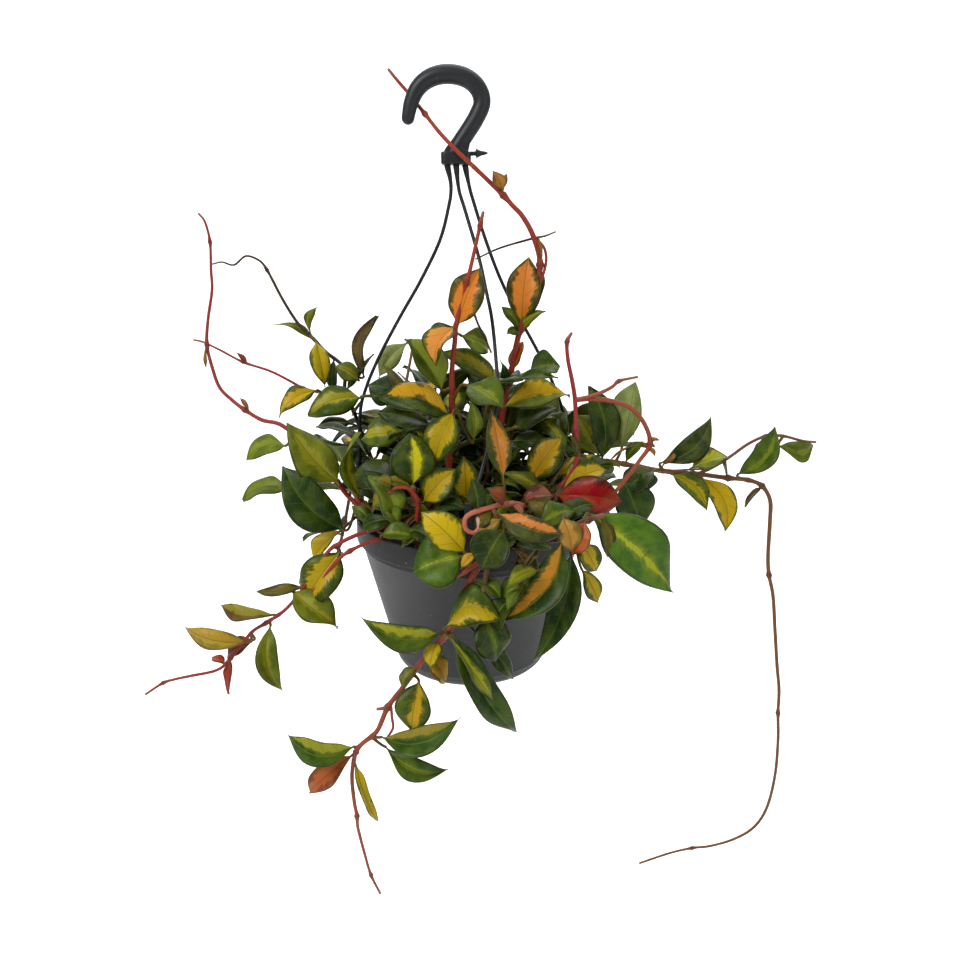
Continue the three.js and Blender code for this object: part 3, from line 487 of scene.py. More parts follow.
def bent(start, out, end, back, share):
    """A point from start to end on the curve that leaves along out and arrives along back."""
    square, cube = share**2, share**3
    return (
        start * (2 * cube - 3 * square + 1) + out * (cube - 2 * square + share)
        + end * (3 * square - 2 * cube) + back * (cube - square)
    )


def curve_point(points, place):
    """A point on the smooth curve through points, with the places numbered from 0."""
    span = min(int(place), len(points) - 2)
    p1, p2 = points[span], points[span + 1]
    p0 = points[span - 1] if span > 0 else p1 * 2 - p2
    p3 = points[span + 2] if span + 2 < len(points) else p2 * 2 - p1
    return bent(p1, (p2 - p0) / 2, p2, (p3 - p1) / 2, place - span)


def sweep(skin, line, radii, sides, marks=None):
    """A round bar along a line of points. Its last points can draw in to close it."""
    across = Vector((0, 1, 0))
    rings = []
    for number, (centre, radius) in enumerate(zip(line, radii)):
        along = (line[min(number + 1, len(line) - 1)] - line[max(number - 1, 0)]).normalized()
        across = (across - along * across.dot(along)).normalized()
        side = along.cross(across)
        rings.append([
            centre + (across * math.cos(turn) + side * math.sin(turn)) * radius
            for turn in (2 * math.pi * corner / sides for corner in range(sides))
        ])
    skin.tube(rings, marks)


def domed(line, radii, at_start=False, length=None):
    """Closes the end of a line with a dome."""
    if at_start:
        line.reverse()
        radii.reverse()
    along = (line[-1] - line[-2]).normalized()
    end, radius = line[-1], radii[-1]
    for step in range(1, DOME_STEPS + 1):
        turn = math.pi / 2 * step / DOME_STEPS
        line.append(end + along * math.sin(turn) * (length or radius))
        radii.append(max(0.03, radius * math.cos(turn)))
    if at_start:
        line.reverse()
        radii.reverse()


hanger_plastic = plastic(
    "black hanger plastic", HANGER_BLACK, roughness=0.42, fineness=1400, depth=0.00004, worn=0.12,
    specks=0.35,
)
hook_skin = Skin()
hook_points = [seen((across, down, 0)) for across, down, _ in HOOK_LINE]
line, radii = [], []
for step in range((len(HOOK_LINE) - 1) * HOOK_STEPS + 1):
    place = step / HOOK_STEPS
    line.append(curve_point(hook_points, place))
    low = min(int(place), len(HOOK_LINE) - 2)
    radii.append(HOOK_LINE[low][2] + (HOOK_LINE[low + 1][2] - HOOK_LINE[low][2]) * (place - low))
domed(line, radii, at_start=True)
sweep(hook_skin, line, radii, HOOK_SIDES)
barb_start, barb_end = seen(BARB_LINE[0]), seen(BARB_LINE[1])
line = [barb_start.lerp(barb_end, share) for share, _ in BARB_SHAPE]
sweep(hook_skin, line, [radius for _, radius in BARB_SHAPE], BARB_SIDES)


def block_ring(height, inset, aside=0):
    ring = []
    corner = max(0.3, FOOT_CORNER - inset)
    for quarter, (x, y) in enumerate(((1, 1), (-1, 1), (-1, -1), (1, -1))):
        centre = Vector((
            FOOT_CENTRE[0] + aside + x * (FOOT_HALF[0] - inset - corner),
            FOOT_CENTRE[1] + y * (FOOT_HALF[1] - inset - corner),
            height,
        ))
        for step in range(FOOT_CORNER_STEPS + 1):
            turn = math.pi / 2 * (quarter + step / FOOT_CORNER_STEPS)
            ring.append(centre + Vector((math.cos(turn), math.sin(turn), 0)) * corner)
    return ring


foot_top = FOOT_BASE + FOOT_HEIGHT
ease_turns = [math.pi / 2 * step / FOOT_EASE_STEPS for step in range(FOOT_EASE_STEPS + 1)]
ease_steps = [(FOOT_EASE * (1 - math.cos(turn)), FOOT_EASE * (1 - math.sin(turn))) for turn in ease_turns]
block_rings = [block_ring(FOOT_BASE, FOOT_EASE + FOOT_SOLE_INSET)]
block_rings += [block_ring(FOOT_BASE + rise, inset) for rise, inset in ease_steps]
block_rings += [block_ring(foot_top - fall, inset) for inset, fall in ease_steps]
block_rings += [block_ring(foot_top + rise, inset, aside) for rise, inset, aside in WEDGE]
hook_skin.tube(block_rings)
hook_skin.piece("hook_moulding", hanger_plastic, "hanger", ["hanger_hook"])


# Strands: three round cords of the same black plastic. Each flares where it leaves its socket, bows
# outward, and ends in a flat clip that wraps the pot's rim band.
STRAND_ROUTES = {
    "left": (168, (-15, 0), [
        (450, 178, 0), (451, 190, 1), (449, 205, 2), (440, 240, 5), (421, 280, 9),
        (400, 317, 12), (380, 355, 14), (366, 388, 16), (360, 415, 18)]),
    "front": (271, (-9, -2), [
        (459, 190, -2), (465, 210, -4), (479, 258, -12), (486, 290, -19), (492, 320, -27),
        (496, 360, -38), (498, 396, -51), (491, 434, -68), (480, 476, -83)]),
    "right": (32, (-3, 1), [
        (469, 185, 2), (473, 200, 4), (485, 238, 10), (500, 278, 17), (518, 315, 25),
        (537, 350, 32), (552, 381, 39), (562, 408, 43), (566, 430, 44)]),
}
STRAND_RADIUS = 1.25
STRAND_FLARE = 2.2
FLARE_LENGTH = 11
LOWER_FLARE = 0.5
LOWER_FLARE_LENGTH = 6
STRAND_SOCKET = 3.7
STRAND_STEPS = 6
STRAND_SIDES = 14
CLIP_TOP = 150
CLIP_SEAT = 8
CLIP_WIDTH = 9
CLIP_THICKNESS = 2.4
CLIP_LIP = 2.6
CLIP_GAP = 0.3
CLIP_EASE = 0.5
CLIP_EDGE = (0.15, 0.2)


def on_rim(angle, radius, height, aside=0):
    turn = math.radians(angle)
    return Vector((
        radius * math.cos(turn) - aside * math.sin(turn),
        radius * math.sin(turn) + aside * math.cos(turn),
        height,
    ))


def clip(skin, angle):
    """A strip bent round the rim band: a lip over the rim, a tongue outside, and a lip beneath."""
    inner = RIM_RADIUS + CLIP_GAP
    outer = inner + CLIP_THICKNESS
    under, over = BAND_BASE - CLIP_GAP, POT_HEIGHT + CLIP_GAP
    ledge, lip_end = WALL_TOP + CLIP_GAP, RIM_RADIUS - POT_WALL
    ease = CLIP_EASE
    outline = rounded([
        (outer, under - CLIP_LIP, ease * 2), (outer, CLIP_TOP, ease * 2), (inner, CLIP_TOP, ease * 2),
        (inner, over + CLIP_LIP, ease), (lip_end, over + CLIP_LIP, ease), (lip_end, over, ease),
        (inner, over, ease / 2), (inner, under, ease / 2), (ledge, under, ease),
        (ledge, under - CLIP_LIP, ease),
    ])
    rings = []
    half = CLIP_WIDTH / 2
    edge, edge_inset = CLIP_EDGE
    for aside, inset in ((-half, ease), (-half + edge, edge_inset), (-half + ease, 0), (half - ease, 0),
                         (half - edge, edge_inset), (half, ease)):
        ring = []
        for place, point in enumerate(outline):
            inward = outline[(place + 1) % len(outline)] - outline[place - 1]
            inward = Vector((-inward.y, inward.x)).normalized()
            spot = point + inward * inset
            ring.append(on_rim(angle, spot.x, spot.y, aside))
        rings.append(ring)
    rings.reverse()
    skin.tube(rings)


for name, (angle, socket, places) in STRAND_ROUTES.items():
    in_clip = RIM_RADIUS + CLIP_GAP + CLIP_THICKNESS / 2
    points = [
        Vector((*socket, FOOT_BASE + STRAND_SOCKET)),
        Vector((*socket, FOOT_BASE)),
        *(seen(place) for place in places),
        on_rim(angle, in_clip, CLIP_TOP),
        on_rim(angle, in_clip, CLIP_TOP - CLIP_SEAT),
    ]
    steps = (len(points) - 1) * STRAND_STEPS
    line = [curve_point(points, step / STRAND_STEPS) for step in range(steps + 1)]
    run, radii = 0, []
    total = sum((after - before).length for before, after in zip(line, line[1:]))
    for number, point in enumerate(line):
        run += (point - line[number - 1]).length if number else 0
        flare = math.exp(-((max(0, run - STRAND_SOCKET) / FLARE_LENGTH) ** 2) * 2)
        to_clip = (total - CLIP_SEAT - run) / LOWER_FLARE_LENGTH
        flare = max(flare, LOWER_FLARE * math.exp(-(to_clip**2)))
        inside = run < STRAND_SOCKET
        radii.append(STRAND_RADIUS if inside else STRAND_RADIUS + (STRAND_FLARE - STRAND_RADIUS) * flare)
    strand_skin = Skin()
    sweep(strand_skin, line, radii, STRAND_SIDES)
    clip(strand_skin, angle)
    strand_skin.piece(f"strand_{name}", hanger_plastic, "hanger", [f"hanger_strand_{name}"])


# Leaves and stems: how every leafy stem of the plant is grown. A leaf is a thick waxy blade with a
# pressed midrib, its margin rippled, on a round petiole. A stem is a round shoot with a swollen
# ring at each node. Each leaf carries its own colours as values at its points.
LEAF_ACROSS = [-1, -0.95, -0.8, -0.55, -0.28, -0.08, 0, 0.08, 0.28, 0.55, 0.8, 0.95, 1]
RING_PLACES = [(across, 1) for across in LEAF_ACROSS]
RING_PLACES += [(across, -1) for across in reversed(LEAF_ACROSS[1:-1])]
LEAF_ALONG = [
    0.012, 0.035, 0.07, 0.11, 0.16, 0.22, 0.285, 0.35, 0.42, 0.49, 0.56, 0.63, 0.69, 0.75, 0.8,
    0.85, 0.89, 0.93, 0.96, 0.98, 0.993, 1,
]
LEAF_THICKNESS = 1.5
LEAF_POINT = 0.36
LEAF_TIP_THICKNESS = 1.05
PETIOLE_RADIUS = 1
PETIOLE_SHARE = 0.07
PETIOLE_STEP = 1.6
PETIOLE_FLARE = 0.35
WAVE_HEIGHT = 0.045
RIPPLE = 0.038
RIPPLE_PITCH = (8, 13)
RIB_GROOVE = (0.35, 0.45, 0.9)
FULLNESS = 0.95
FULLNESS_LOSS = 0.3
SLENDER, BROAD = 0.3, 0.65
TIP_CURL = 0.11
CURL_RANGE = (-1, 0.4)
DROOP_RANGE = (0.1, 0.45)
TONE_RANGE = (0.88, 1.12)
WARM_RANGE = (-0.05, 0.05)
LEAF_TWIST = 22
LEAF_FOLD = 10
STEM_SIDES = 10
STEM_STEP = 2.2
NODE_SWELL = 0.7
NODE_SPAN = 2
JOINT_SWELL = 0.35
STEM_UNEVEN = (0.06, 0.12)
STEM_TIP = 1.2
HOLE_DEPTH = 11.7
STEM_LIFT = 6
DRY_TIP = 12
TIP_BROWN = (128, 96, 68)
CUT_WHITE = (206, 186, 168)
LEAF_DEEP = (16, 28, 6)
LEAF_OLIVE = (64, 74, 20)
LEAF_LIME = (134, 136, 40)
RIB_ON_GREEN = (110, 130, 60)
# The midrib's colour on gold centres: a painted shadow in its pressed groove.
RIB_GROOVE_SHADOW_ON_GOLD = (70, 70, 16)
SILVER_FLECK = (128, 142, 78)
LIT_MARGIN = (128, 136, 84)
PETIOLE_BROWN = (92, 62, 32)
UNDERSIDE = (104, 112, 40)
STEM_OLIVE = (104, 84, 36)
STEM_BLUSH = (74, 30, 18)
STEM_PORE = (180, 150, 116)
STEM_NODE = (70, 34, 24)

# A look is (body, centre, margin, reach of the centre, its shift to one side, silver flecks, ripple).
LOOKS = {
    "dark": ((36, 54, 10), (66, 86, 18), (24, 28, 8), 0.0, 0, 0.5, 1),
    "dark_big": ((34, 60, 18), (62, 86, 26), (28, 36, 12), 0.0, 0, 0.8, 1),
    "dark_round": ((36, 52, 12), (76, 96, 28), (24, 30, 10), 0.1, 0, 0.8, 1),
    "dark_streak": ((44, 62, 14), (178, 166, 18), (24, 30, 8), 0.2, 0.15, 0.6, 1),
    "green": ((60, 82, 16), (104, 116, 26), (30, 34, 10), 0.15, 0, 0.5, 1),
    "green_streak": ((66, 88, 16), (138, 134, 28), (34, 36, 12), 0.22, -0.1, 0.5, 1),
    "olive": ((82, 88, 20), (120, 116, 30), (42, 36, 14), 0.25, 0, 0.5, 1),
    "olive_light": ((98, 106, 18), (124, 122, 28), (46, 40, 14), 0.25, 0, 0.4, 1),
    "olive_dark": ((64, 62, 18), (96, 80, 24), (40, 30, 14), 0.3, 0, 0.4, 1),
    "olive_flap": ((96, 64, 40), (128, 120, 34), (44, 34, 20), 0.5, 0.5, 0, 1),
    "lime_top": ((72, 92, 14), (146, 144, 34), (38, 40, 12), 0.3, 0.5, 0.5, 1),
    "green_top": ((54, 82, 18), (128, 130, 38), (34, 38, 12), 0.3, 0.62, 0.5, 1),
    "green_lit": ((56, 82, 22), (130, 116, 42), (36, 38, 14), 0.3, -0.72, 0.5, 1),
    "lime": ((94, 108, 22), (142, 140, 28), (44, 44, 14), 0.4, 0, 0.2, 1),
    "lime_streak": ((66, 84, 16), (142, 134, 26), (34, 34, 10), 0.35, 0.1, 0.4, 1),
    "light_green": ((88, 106, 28), (118, 128, 36), (40, 44, 16), 0.3, 0, 0.3, 1),
    "light_arch": ((98, 114, 28), (120, 130, 40), (38, 42, 16), 0.3, 0.2, 0.1, 1),
    "light_dark": ((50, 66, 14), (106, 118, 32), (28, 32, 10), 0.55, 0.5, 0.4, 1),
    "pale": ((128, 140, 76), (140, 148, 88), (76, 80, 46), 0.3, 0, 0.3, 1.2),
    "yellow_wide": ((90, 100, 12), (176, 148, 8), (46, 38, 10), 0.8, 0, 0.2, 1),
    "yellow_centre": ((62, 80, 12), (168, 140, 12), (34, 32, 10), 0.55, 0, 0.4, 1),
    "yellow_stripe": ((74, 88, 16), (156, 140, 18), (38, 36, 12), 0.34, 0.05, 0.4, 1),
    "yellow_saddle": ((62, 80, 14), (172, 142, 16), (36, 30, 10), 0.42, 0.4, 0.4, 1.4),
    "yellow_side": ((58, 78, 12), (166, 136, 22), (34, 32, 10), 0.34, -0.2, 0.5, 1),
    "yellow_upper": ((84, 96, 24), (170, 138, 16), (38, 34, 10), 0.42, -0.25, 0.3, 1),
    "gold_brown": ((58, 64, 18), (166, 100, 32), (42, 30, 12), 0.5, 0.1, 0.3, 1),
    "gold": ((96, 88, 16), (172, 126, 26), (54, 34, 12), 0.8, 0, 0.1, 1),
    "gold_centre": ((60, 74, 14), (180, 136, 24), (34, 30, 10), 0.58, 0, 0.3, 1),
    "gold_half": ((44, 64, 16), (184, 136, 26), (34, 30, 10), 0.42, 0.42, 0.4, 1),
    "gold_edge": ((40, 62, 18), (172, 112, 26), (60, 62, 22), 0.3, 0.32, 0.5, 1),
    "tan": ((112, 88, 32), (158, 112, 44), (70, 50, 24), 0.6, 0.2, 0, 1.4),
    "gold_pink": ((134, 120, 34), (166, 134, 42), (130, 62, 44), 0.6, 0.2, 0, 1.2),
    "orange_red": ((140, 66, 28), (172, 84, 40), (70, 32, 18), 0.6, 0, 0, 1.4),
    "orange": ((110, 72, 20), (164, 90, 30), (64, 30, 16), 0.8, 0, 0.1, 1),
    "orange_centre": ((62, 62, 16), (194, 112, 38), (34, 28, 12), 0.58, 0, 0.3, 1),
    "peach_centre": ((66, 76, 18), (206, 130, 58), (38, 32, 14), 0.6, 0, 0.3, 1.2),
    "orange_dark": ((48, 56, 14), (196, 116, 48), (40, 28, 12), 0.32, -0.45, 0.3, 1),
    "orange_pink": ((124, 54, 28), (166, 72, 38), (80, 34, 22), 0.72, 0, 0, 1.8),
    "green_flash": ((66, 94, 14), (150, 160, 40), (34, 46, 12), 0.04, 0, 0.5, 1),
    "bright_streak": ((62, 98, 18), (142, 150, 28), (38, 50, 14), 0.14, 0.12, 0.6, 1),
    "bronze": ((64, 46, 28), (86, 62, 36), (40, 26, 20), 0.4, 0, 0.3, 1.2),
    "mauve": ((96, 50, 42), (132, 70, 56), (66, 32, 28), 0.5, 0, 0.1, 1.4),
    "red": ((134, 36, 28), (164, 56, 40), (76, 22, 18), 0.5, 0, 0, 1.4),
    "crimson": ((92, 10, 16), (146, 8, 24), (44, 12, 12), 0.74, 0.02, 0, 1.6),
    "pink": ((112, 52, 40), (156, 84, 72), (66, 32, 26), 0.5, 0, 0, 1),
    "red_orange": ((104, 42, 24), (134, 58, 34), (66, 28, 18), 0.5, 0, 0, 1.4),
    "curly": ((80, 84, 22), (122, 106, 30), (54, 38, 18), 0.35, 0.2, 0.2, 2.4),
    "dried": ((78, 50, 28), (108, 76, 42), (46, 30, 20), 0.4, 0, 0, 3),
    "bract": ((120, 70, 32), (152, 96, 42), (76, 40, 20), 0.4, 0, 0, 1.6),
}
STEM_TINTS = {
    "red": (140, 44, 40),
    "pink_red": (142, 68, 48),
    "pink": (180, 100, 78),
    "red_brown": (142, 46, 32),
    "brown": (84, 54, 34),
    "green_brown": (84, 76, 32),
    "dark_brown": (50, 36, 30),
    "olive_brown": (106, 68, 38),
}


# What living skin shares: broad patches of tone and a fine uneven surface.
living, skin_in, skin_out = new_group(
    "living mottle",
    [("Vector", "NodeSocketVector")],
    [("Patches", "NodeSocketFloat"), ("Grain", "NodeSocketFloat")],
)
living.links.new(noise_at(living, skin_in["Vector"], 0.09, 3, 0.5), skin_out["Patches"])
living.links.new(noise_at(living, skin_in["Vector"], 1.1, 4, 0.6), skin_out["Grain"])


def leaf_material():
    material, tree, shader = new_material("hoya leaf")

    def mark(name):
        return node(tree, "ShaderNodeAttribute", attribute_name=name).outputs

    def times(value, by):
        return sums(tree, "MULTIPLY", value, by)

    across, share, face = node(tree, "ShaderNodeSeparateXYZ", {0: mark("leaf_place")["Vector"]}).outputs
    flat = mark("leaf_flat")["Vector"]
    aside, along, seed = node(tree, "ShaderNodeSeparateXYZ", {0: flat}).outputs
    body, centre, margin = mark("leaf_body"), mark("leaf_centre"), mark("leaf_margin")
    off_rib = sums(tree, "ABSOLUTE", aside)
    down_vein = sums(tree, "ADD", times(off_rib, 0.8), times(along, 0.6))
    over_vein = sums(tree, "SUBTRACT", times(along, 0.8), times(off_rib, 0.6))
    veined = {0: times(down_vein, 0.06), 1: times(over_vein, 0.5), 2: seed}
    veined = node(tree, "ShaderNodeCombineXYZ", veined).outputs[0]
    feather = noise_at(tree, veined, 1, 4, 0.6)
    mottle = node(tree, "ShaderNodeGroup", {"Vector": flat}, node_tree=living)
    patches, grain = mottle.outputs

    # How far a place is outside the pale centre, with a feathered and wandering edge.
    shift = sums(tree, "SUBTRACT", times(margin["Alpha"], 2), 1)
    outside = sums(tree, "ABSOLUTE", sums(tree, "SUBTRACT", across, shift))
    outside = sums(tree, "SUBTRACT", outside, centre["Alpha"])
    ragged = sums(tree, "ADD", times(sums(tree, "SUBTRACT", feather, 0.5), 0.75),
                  times(sums(tree, "SUBTRACT", patches, 0.5), 1.1))
    ragged = sums(tree, "MULTIPLY", ragged, between(tree, centre["Alpha"], 0, 0.5, 0.3, 1))
    outside = sums(tree, "ADD", outside, ragged)
    outside = sums(tree, "ADD", outside, between(tree, share, 0.8, 1.02, 0, 0.6))
    outside = sums(tree, "ADD", outside, between(tree, share, 0.1, -0.02, 0, 0.3))
    inside = between(tree, outside, 0.015, -0.035)
    halfway = between(tree, outside, 0.22, 0.0)
    streak = times(between(tree, feather, 0.64, 0.7), between(tree, outside, 0.55, 0.2))
    streak = times(streak, between(tree, centre["Alpha"], 0, 0.15, 0.2, 1))
    shade = painted(
        tree, body["Color"],
        (between(tree, patches, 0.35, 0.65, 0, 0.35), LEAF_DEEP),
        (times(halfway, 0.3), centre["Color"]),
        (inside, centre["Color"]),
        (times(streak, 0.4), centre["Color"]),
        (between(tree, grain, 0.45, 0.8, 0, 0.22), LEAF_OLIVE),
        (between(tree, patches, 0.62, 0.36, 0, 0.12), LEAF_LIME),
    )

    # Midrib, side veins, silver flecks, the thin dark margin, and the paler, duller underside. The midrib
    # and veins are paler on green. On gold centres they are darkened as a painted shadow in their pressed
    # grooves.
    rib = between(tree, off_rib, 0.55, 0.15)
    vein = sums(tree, "PINGPONG", sums(tree, "ADD", over_vein, times(feather, 2)), 3.4)
    vein = times(between(tree, vein, 0.5, 0.1), between(tree, off_rib, 0.5, 3))
    # The rib and vein colour: paler on green, and on gold centres darker, a painted shadow in the groove.
    rib_tint_and_groove_shadow = painted(tree, shade, (0.5, RIB_ON_GREEN), (inside, RIB_GROOVE_SHADOW_ON_GOLD))
    fleck = between(tree, noise_at(tree, flat, 0.75, 2, 0.4), 0.68, 0.72)
    fleck = times(times(fleck, body["Alpha"]), sums(tree, "SUBTRACT", 1, inside))
    to_edge = sums(tree, "ABSOLUTE", across)
    below = between(tree, face, 0.2, -0.4)
    shade = painted(
        tree, shade,
        (times(rib, 0.55), rib_tint_and_groove_shadow),
        (times(vein, 0.16), rib_tint_and_groove_shadow),
        (times(fleck, 0.32), SILVER_FLECK),
        (times(between(tree, to_edge, 0.86, 0.95), 0.8), margin["Color"]),
        (times(between(tree, to_edge, 0.955, 0.99), 0.4), LIT_MARGIN),
        (times(between(tree, along, 1.5, -1.5), 0.75), PETIOLE_BROWN),
        (times(below, 0.3), UNDERSIDE),
    )
    relief = sums(tree, "ADD", times(grain, 0.35), times(vein, -0.35))
    relief = sums(tree, "ADD", relief, times(patches, 0.8))
    feed(tree, shader, {
        "Base Color": shade,
        "Roughness": sums(tree, "ADD", between(tree, grain, 0.3, 0.7, 0.3, 0.42), times(below, 0.12)),
        "Specular IOR Level": 0.16,
        "Coat Weight": 0.04,
        "Coat Roughness": 0.22,
        "Normal": bump(tree, relief, 0.0004),
    })
    return material


def stem_material():
    material, tree, shader = new_material("hoya stem")
    place = node(tree, "ShaderNodeAttribute", attribute_name="stem_place").outputs["Vector"]
    tint = node(tree, "ShaderNodeAttribute", attribute_name="stem_tint").outputs["Color"]
    ringed = node(tree, "ShaderNodeSeparateXYZ", {0: place}).outputs[2]
    where = node(tree, "ShaderNodeTexCoord").outputs["Object"]
    where = node(tree, "ShaderNodeVectorMath", {0: where, "Scale": 1000.0}, operation="SCALE").outputs[0]
    mottle = node(tree, "ShaderNodeGroup", {"Vector": where}, node_tree=living)
    patches, grain = mottle.outputs
    pores = between(tree, noise_at(tree, where, 1.6, 1, 0.3), 0.68, 0.74)
    shade = painted(
        tree, tint,
        (between(tree, patches, 0.5, 0.75, 0, 0.3), STEM_OLIVE),
        (between(tree, grain, 0.5, 0.75, 0, 0.4), STEM_BLUSH),
        (sums(tree, "MULTIPLY", pores, 0.5), STEM_PORE),
        (sums(tree, "MULTIPLY", ringed, 0.5), STEM_NODE),
    )
    relief = sums(tree, "ADD", grain, sums(tree, "MULTIPLY", pores, 0.6))
    feed(tree, shader, {
        "Base Color": shade,
        "Roughness": 0.5,
        "Specular IOR Level": 0.3,
        "Normal": bump(tree, relief, 0.0003),
    })
    return material


LEAF_WAX = leaf_material()
STEM_BARK = stem_material()


def half_width(share, fullness):
    """One side's width: a wedge at the base, full at the middle, drawn out to a pointed tip."""
    power = fullness + 0.5 * max(0, 1 - share / 0.25) + 0.3 * max(0, (share - 0.7) / 0.3)
    return max(0, math.sin(math.pi * share**0.9)) ** power / 2


def eased(value, low, high):
    share = min(1, max(0, (value - low) / (high - low)))
    return share * share * (3 - 2 * share)


def leaf(skin, foot, base, tip, wide, up, bow, bend, fold, wave, look, dice):
    """One leaf, from its petiole's foot in the stem to its tip. The midrib bends to its right."""
    body, centre, margin, reach, shift, flecks, ripple = LOOKS[look]
    along = tip - base
    length = along.length
    along.normalize()
    normal = (up - along * up.dot(along)).normalized()
    right = along.cross(normal)
    fold = math.radians(fold + LEAF_FOLD)
    lift, spread = math.sin(fold), math.cos(fold)
    seed = dice.uniform(0, 400)
    tone = dice.uniform(*TONE_RANGE)
    warm = dice.uniform(*WARM_RANGE)
    tinted = [
        tuple(part * tone * (1 + bias * warm) for part, bias in zip(linear(colour), (1, 0, -1)))
        for colour in (body, centre, margin)
    ]
    rings, places, flats = [], [], []
    fullness = FULLNESS - FULLNESS_LOSS * eased(wide / length, SLENDER, BROAD)

    def mark(share, run):
        for across, face in RING_PLACES:
            places.append((across, share, face))
            flats.append((across * wide * max(half_width(share, fullness), 0.03), run, seed))

    # The petiole, made back from the blade so that its sides line up with the blade's edges.
    reach_back = (base - foot).length
    steps = max(3, round(reach_back / PETIOLE_STEP))
    start_way = (base - foot).normalized() * reach_back
    side, petiole = right, []
    radius = PETIOLE_RADIUS * min(1, 0.45 + wide / 36)
    for step in range(steps, -1, -1):
        share = step / steps
        square = share**2
        point = bent(foot, start_way, base, along * reach_back, share)
        way = (
            foot * (6 * square - 6 * share) + start_way * (3 * square - 4 * share + 1)
            + base * (6 * share - 6 * square) + along * reach_back * (3 * square - 2 * share)
        ).normalized()
        side = (side - way * side.dot(way)).normalized()
        over = side.cross(way)
        thick = radius * (1 + PETIOLE_FLARE * (1 - share) ** 3)
        petiole.append((share, [
            point + side * thick * across + over * thick * face * math.sqrt(1 - across * across)
            for across, face in RING_PLACES
        ]))
    for share, ring in reversed(petiole):
        rings.append(ring)
        mark(0, (share - 1) * reach_back)

    ripples = [dice.uniform(0, 6.3), dice.uniform(0, 6.3)]
    pitch = dice.uniform(*RIPPLE_PITCH)
    curl = dice.uniform(*CURL_RANGE)
    droop = dice.uniform(*DROOP_RANGE)
    twist = math.radians(dice.uniform(-LEAF_TWIST, LEAF_TWIST))
    flat_right, flat_normal = right, normal
    dent, keel, groove_width = RIB_GROOVE
    for share in LEAF_ALONG:
        half = max(wide * half_width(share, fullness), radius * (1 - share) ** 2, LEAF_POINT)
        waved = length * WAVE_HEIGHT * math.sin(2 * math.pi * share + wave)
        arch = 4 * share * (1 - share)
        middle = base + along * length * share + (flat_normal * bow + flat_right * bend) * arch
        middle += flat_normal * (TIP_CURL * length * (curl * (share**3 - share)))
        turned_by = twist * (share - 0.2)
        right = flat_right * math.cos(turned_by) + flat_normal * math.sin(turned_by)
        normal = flat_normal * math.cos(turned_by) - flat_right * math.sin(turned_by)
        blade = eased(share, 0, 0.1)
        thick = radius * 2 + (LEAF_THICKNESS - radius * 2) * blade
        thick += (LEAF_TIP_THICKNESS - LEAF_THICKNESS) * eased(share, 0.75, 1)
        ring = []
        for across, face in RING_PLACES:
            out = abs(across)
            rise = half * (lift * out**1.1 - droop * out**3) + across * waved * eased(share, 0, 0.15)
            turn = ripples[across > 0] + pitch * share
            rise += wide * RIPPLE * ripple * out**3 * math.sin(turn) * eased(share, 0, 0.2)
            swell = math.sqrt(max(0, 1 - out**2)) ** (1 - 0.45 * blade)
            edge_depth = thick * (0.5 * swell)
            groove = math.exp(-((across * half / groove_width) ** 2)) * blade * (1 - share)
            face_rise = edge_depth - dent * groove if face > 0 else -edge_depth - keel * groove
            ring.append(middle + right * across * half * spread + normal * (rise + face_rise))
        rings.append(ring)
        mark(share, share * length)
    count = len(places)
    skin.tube(rings, {
        "leaf_place": places,
        "leaf_flat": flats,
        "leaf_body": [(*tinted[0], flecks)] * count,
        "leaf_centre": [(*tinted[1], reach)] * count,
        "leaf_margin": [(*tinted[2], shift / 2 + 0.5)] * count,
    })


def facing(base, tip, turn):
    """The way a leaf's face looks: at the eye, turned up from there about the leaf's length."""
    along = (tip - base).normalized()
    to_eye = EYE - base
    to_eye = (to_eye - along * to_eye.dot(along)).normalized()
    sideways = along.cross(to_eye)
    if sideways.z < 0:
        sideways.negate()
    return to_eye * math.cos(math.radians(turn)) + sideways * math.sin(math.radians(turn))


def shoot(skin, points, radii, nodes, tint, joints=()):
    """One stem. It swells at its nodes, and a little where each leaf leaves it."""
    thick, thin = radii
    line, widths, marks = [], [], []
    run = 0
    for span in range(len(points) - 1):
        length = (points[span + 1] - points[span]).length
        steps = max(2, round(length / STEM_STEP))
        for step in range(steps + (span == len(points) - 2)):
            place = span + step / steps
            ringed = 0
            for knot, swell in [(knot, 1) for knot in nodes] + [(knot, JOINT_SWELL) for knot in joints]:
                away = abs(place - knot) * length / NODE_SPAN
                ringed = max(ringed, swell * math.exp(-away * away))
            width = thick + (thin - thick) * place / (len(points) - 1)
            point = curve_point(points, place)
            uneven = 1 + STEM_UNEVEN[0] * noise.noise(point * STEM_UNEVEN[1])
            line.append(point)
            widths.append(width * uneven * (1 + NODE_SWELL * ringed))
            marks.append((run, 0, ringed))
            run += length / steps
    before = len(line)
    domed(line, widths, length=widths[-1] * STEM_TIP)
    marks += [marks[-1]] * (len(line) - before)
    tints = []
    dry_tip = CUT_WHITE if tint == "pink" else TIP_BROWN
    for spot, _, _ in marks:
        dry = 0.8 * eased(spot, run - DRY_TIP, run)
        tints.append([
            fresh * (1 - dry) + brown * dry
            for fresh, brown in zip(opaque(STEM_TINTS[tint]), opaque(dry_tip))
        ])
    sweep(skin, line, widths, STEM_SIDES, {
        "stem_place": [mark for mark in marks for _ in range(STEM_SIDES)],
        "stem_tint": [mark for mark in tints for _ in range(STEM_SIDES)],
    })


def rooted(x, y):
    return [Vector((x, y, SOIL_TOP - HOLE_DEPTH)), Vector((x, y, SOIL_TOP + STEM_LIFT))]


def planted(name, stems, leaves):
    stems.piece(f"{name}_stems", STEM_BARK, name, [name])
    leaves.piece(f"{name}_leaves", LEAF_WAX, name, [name])


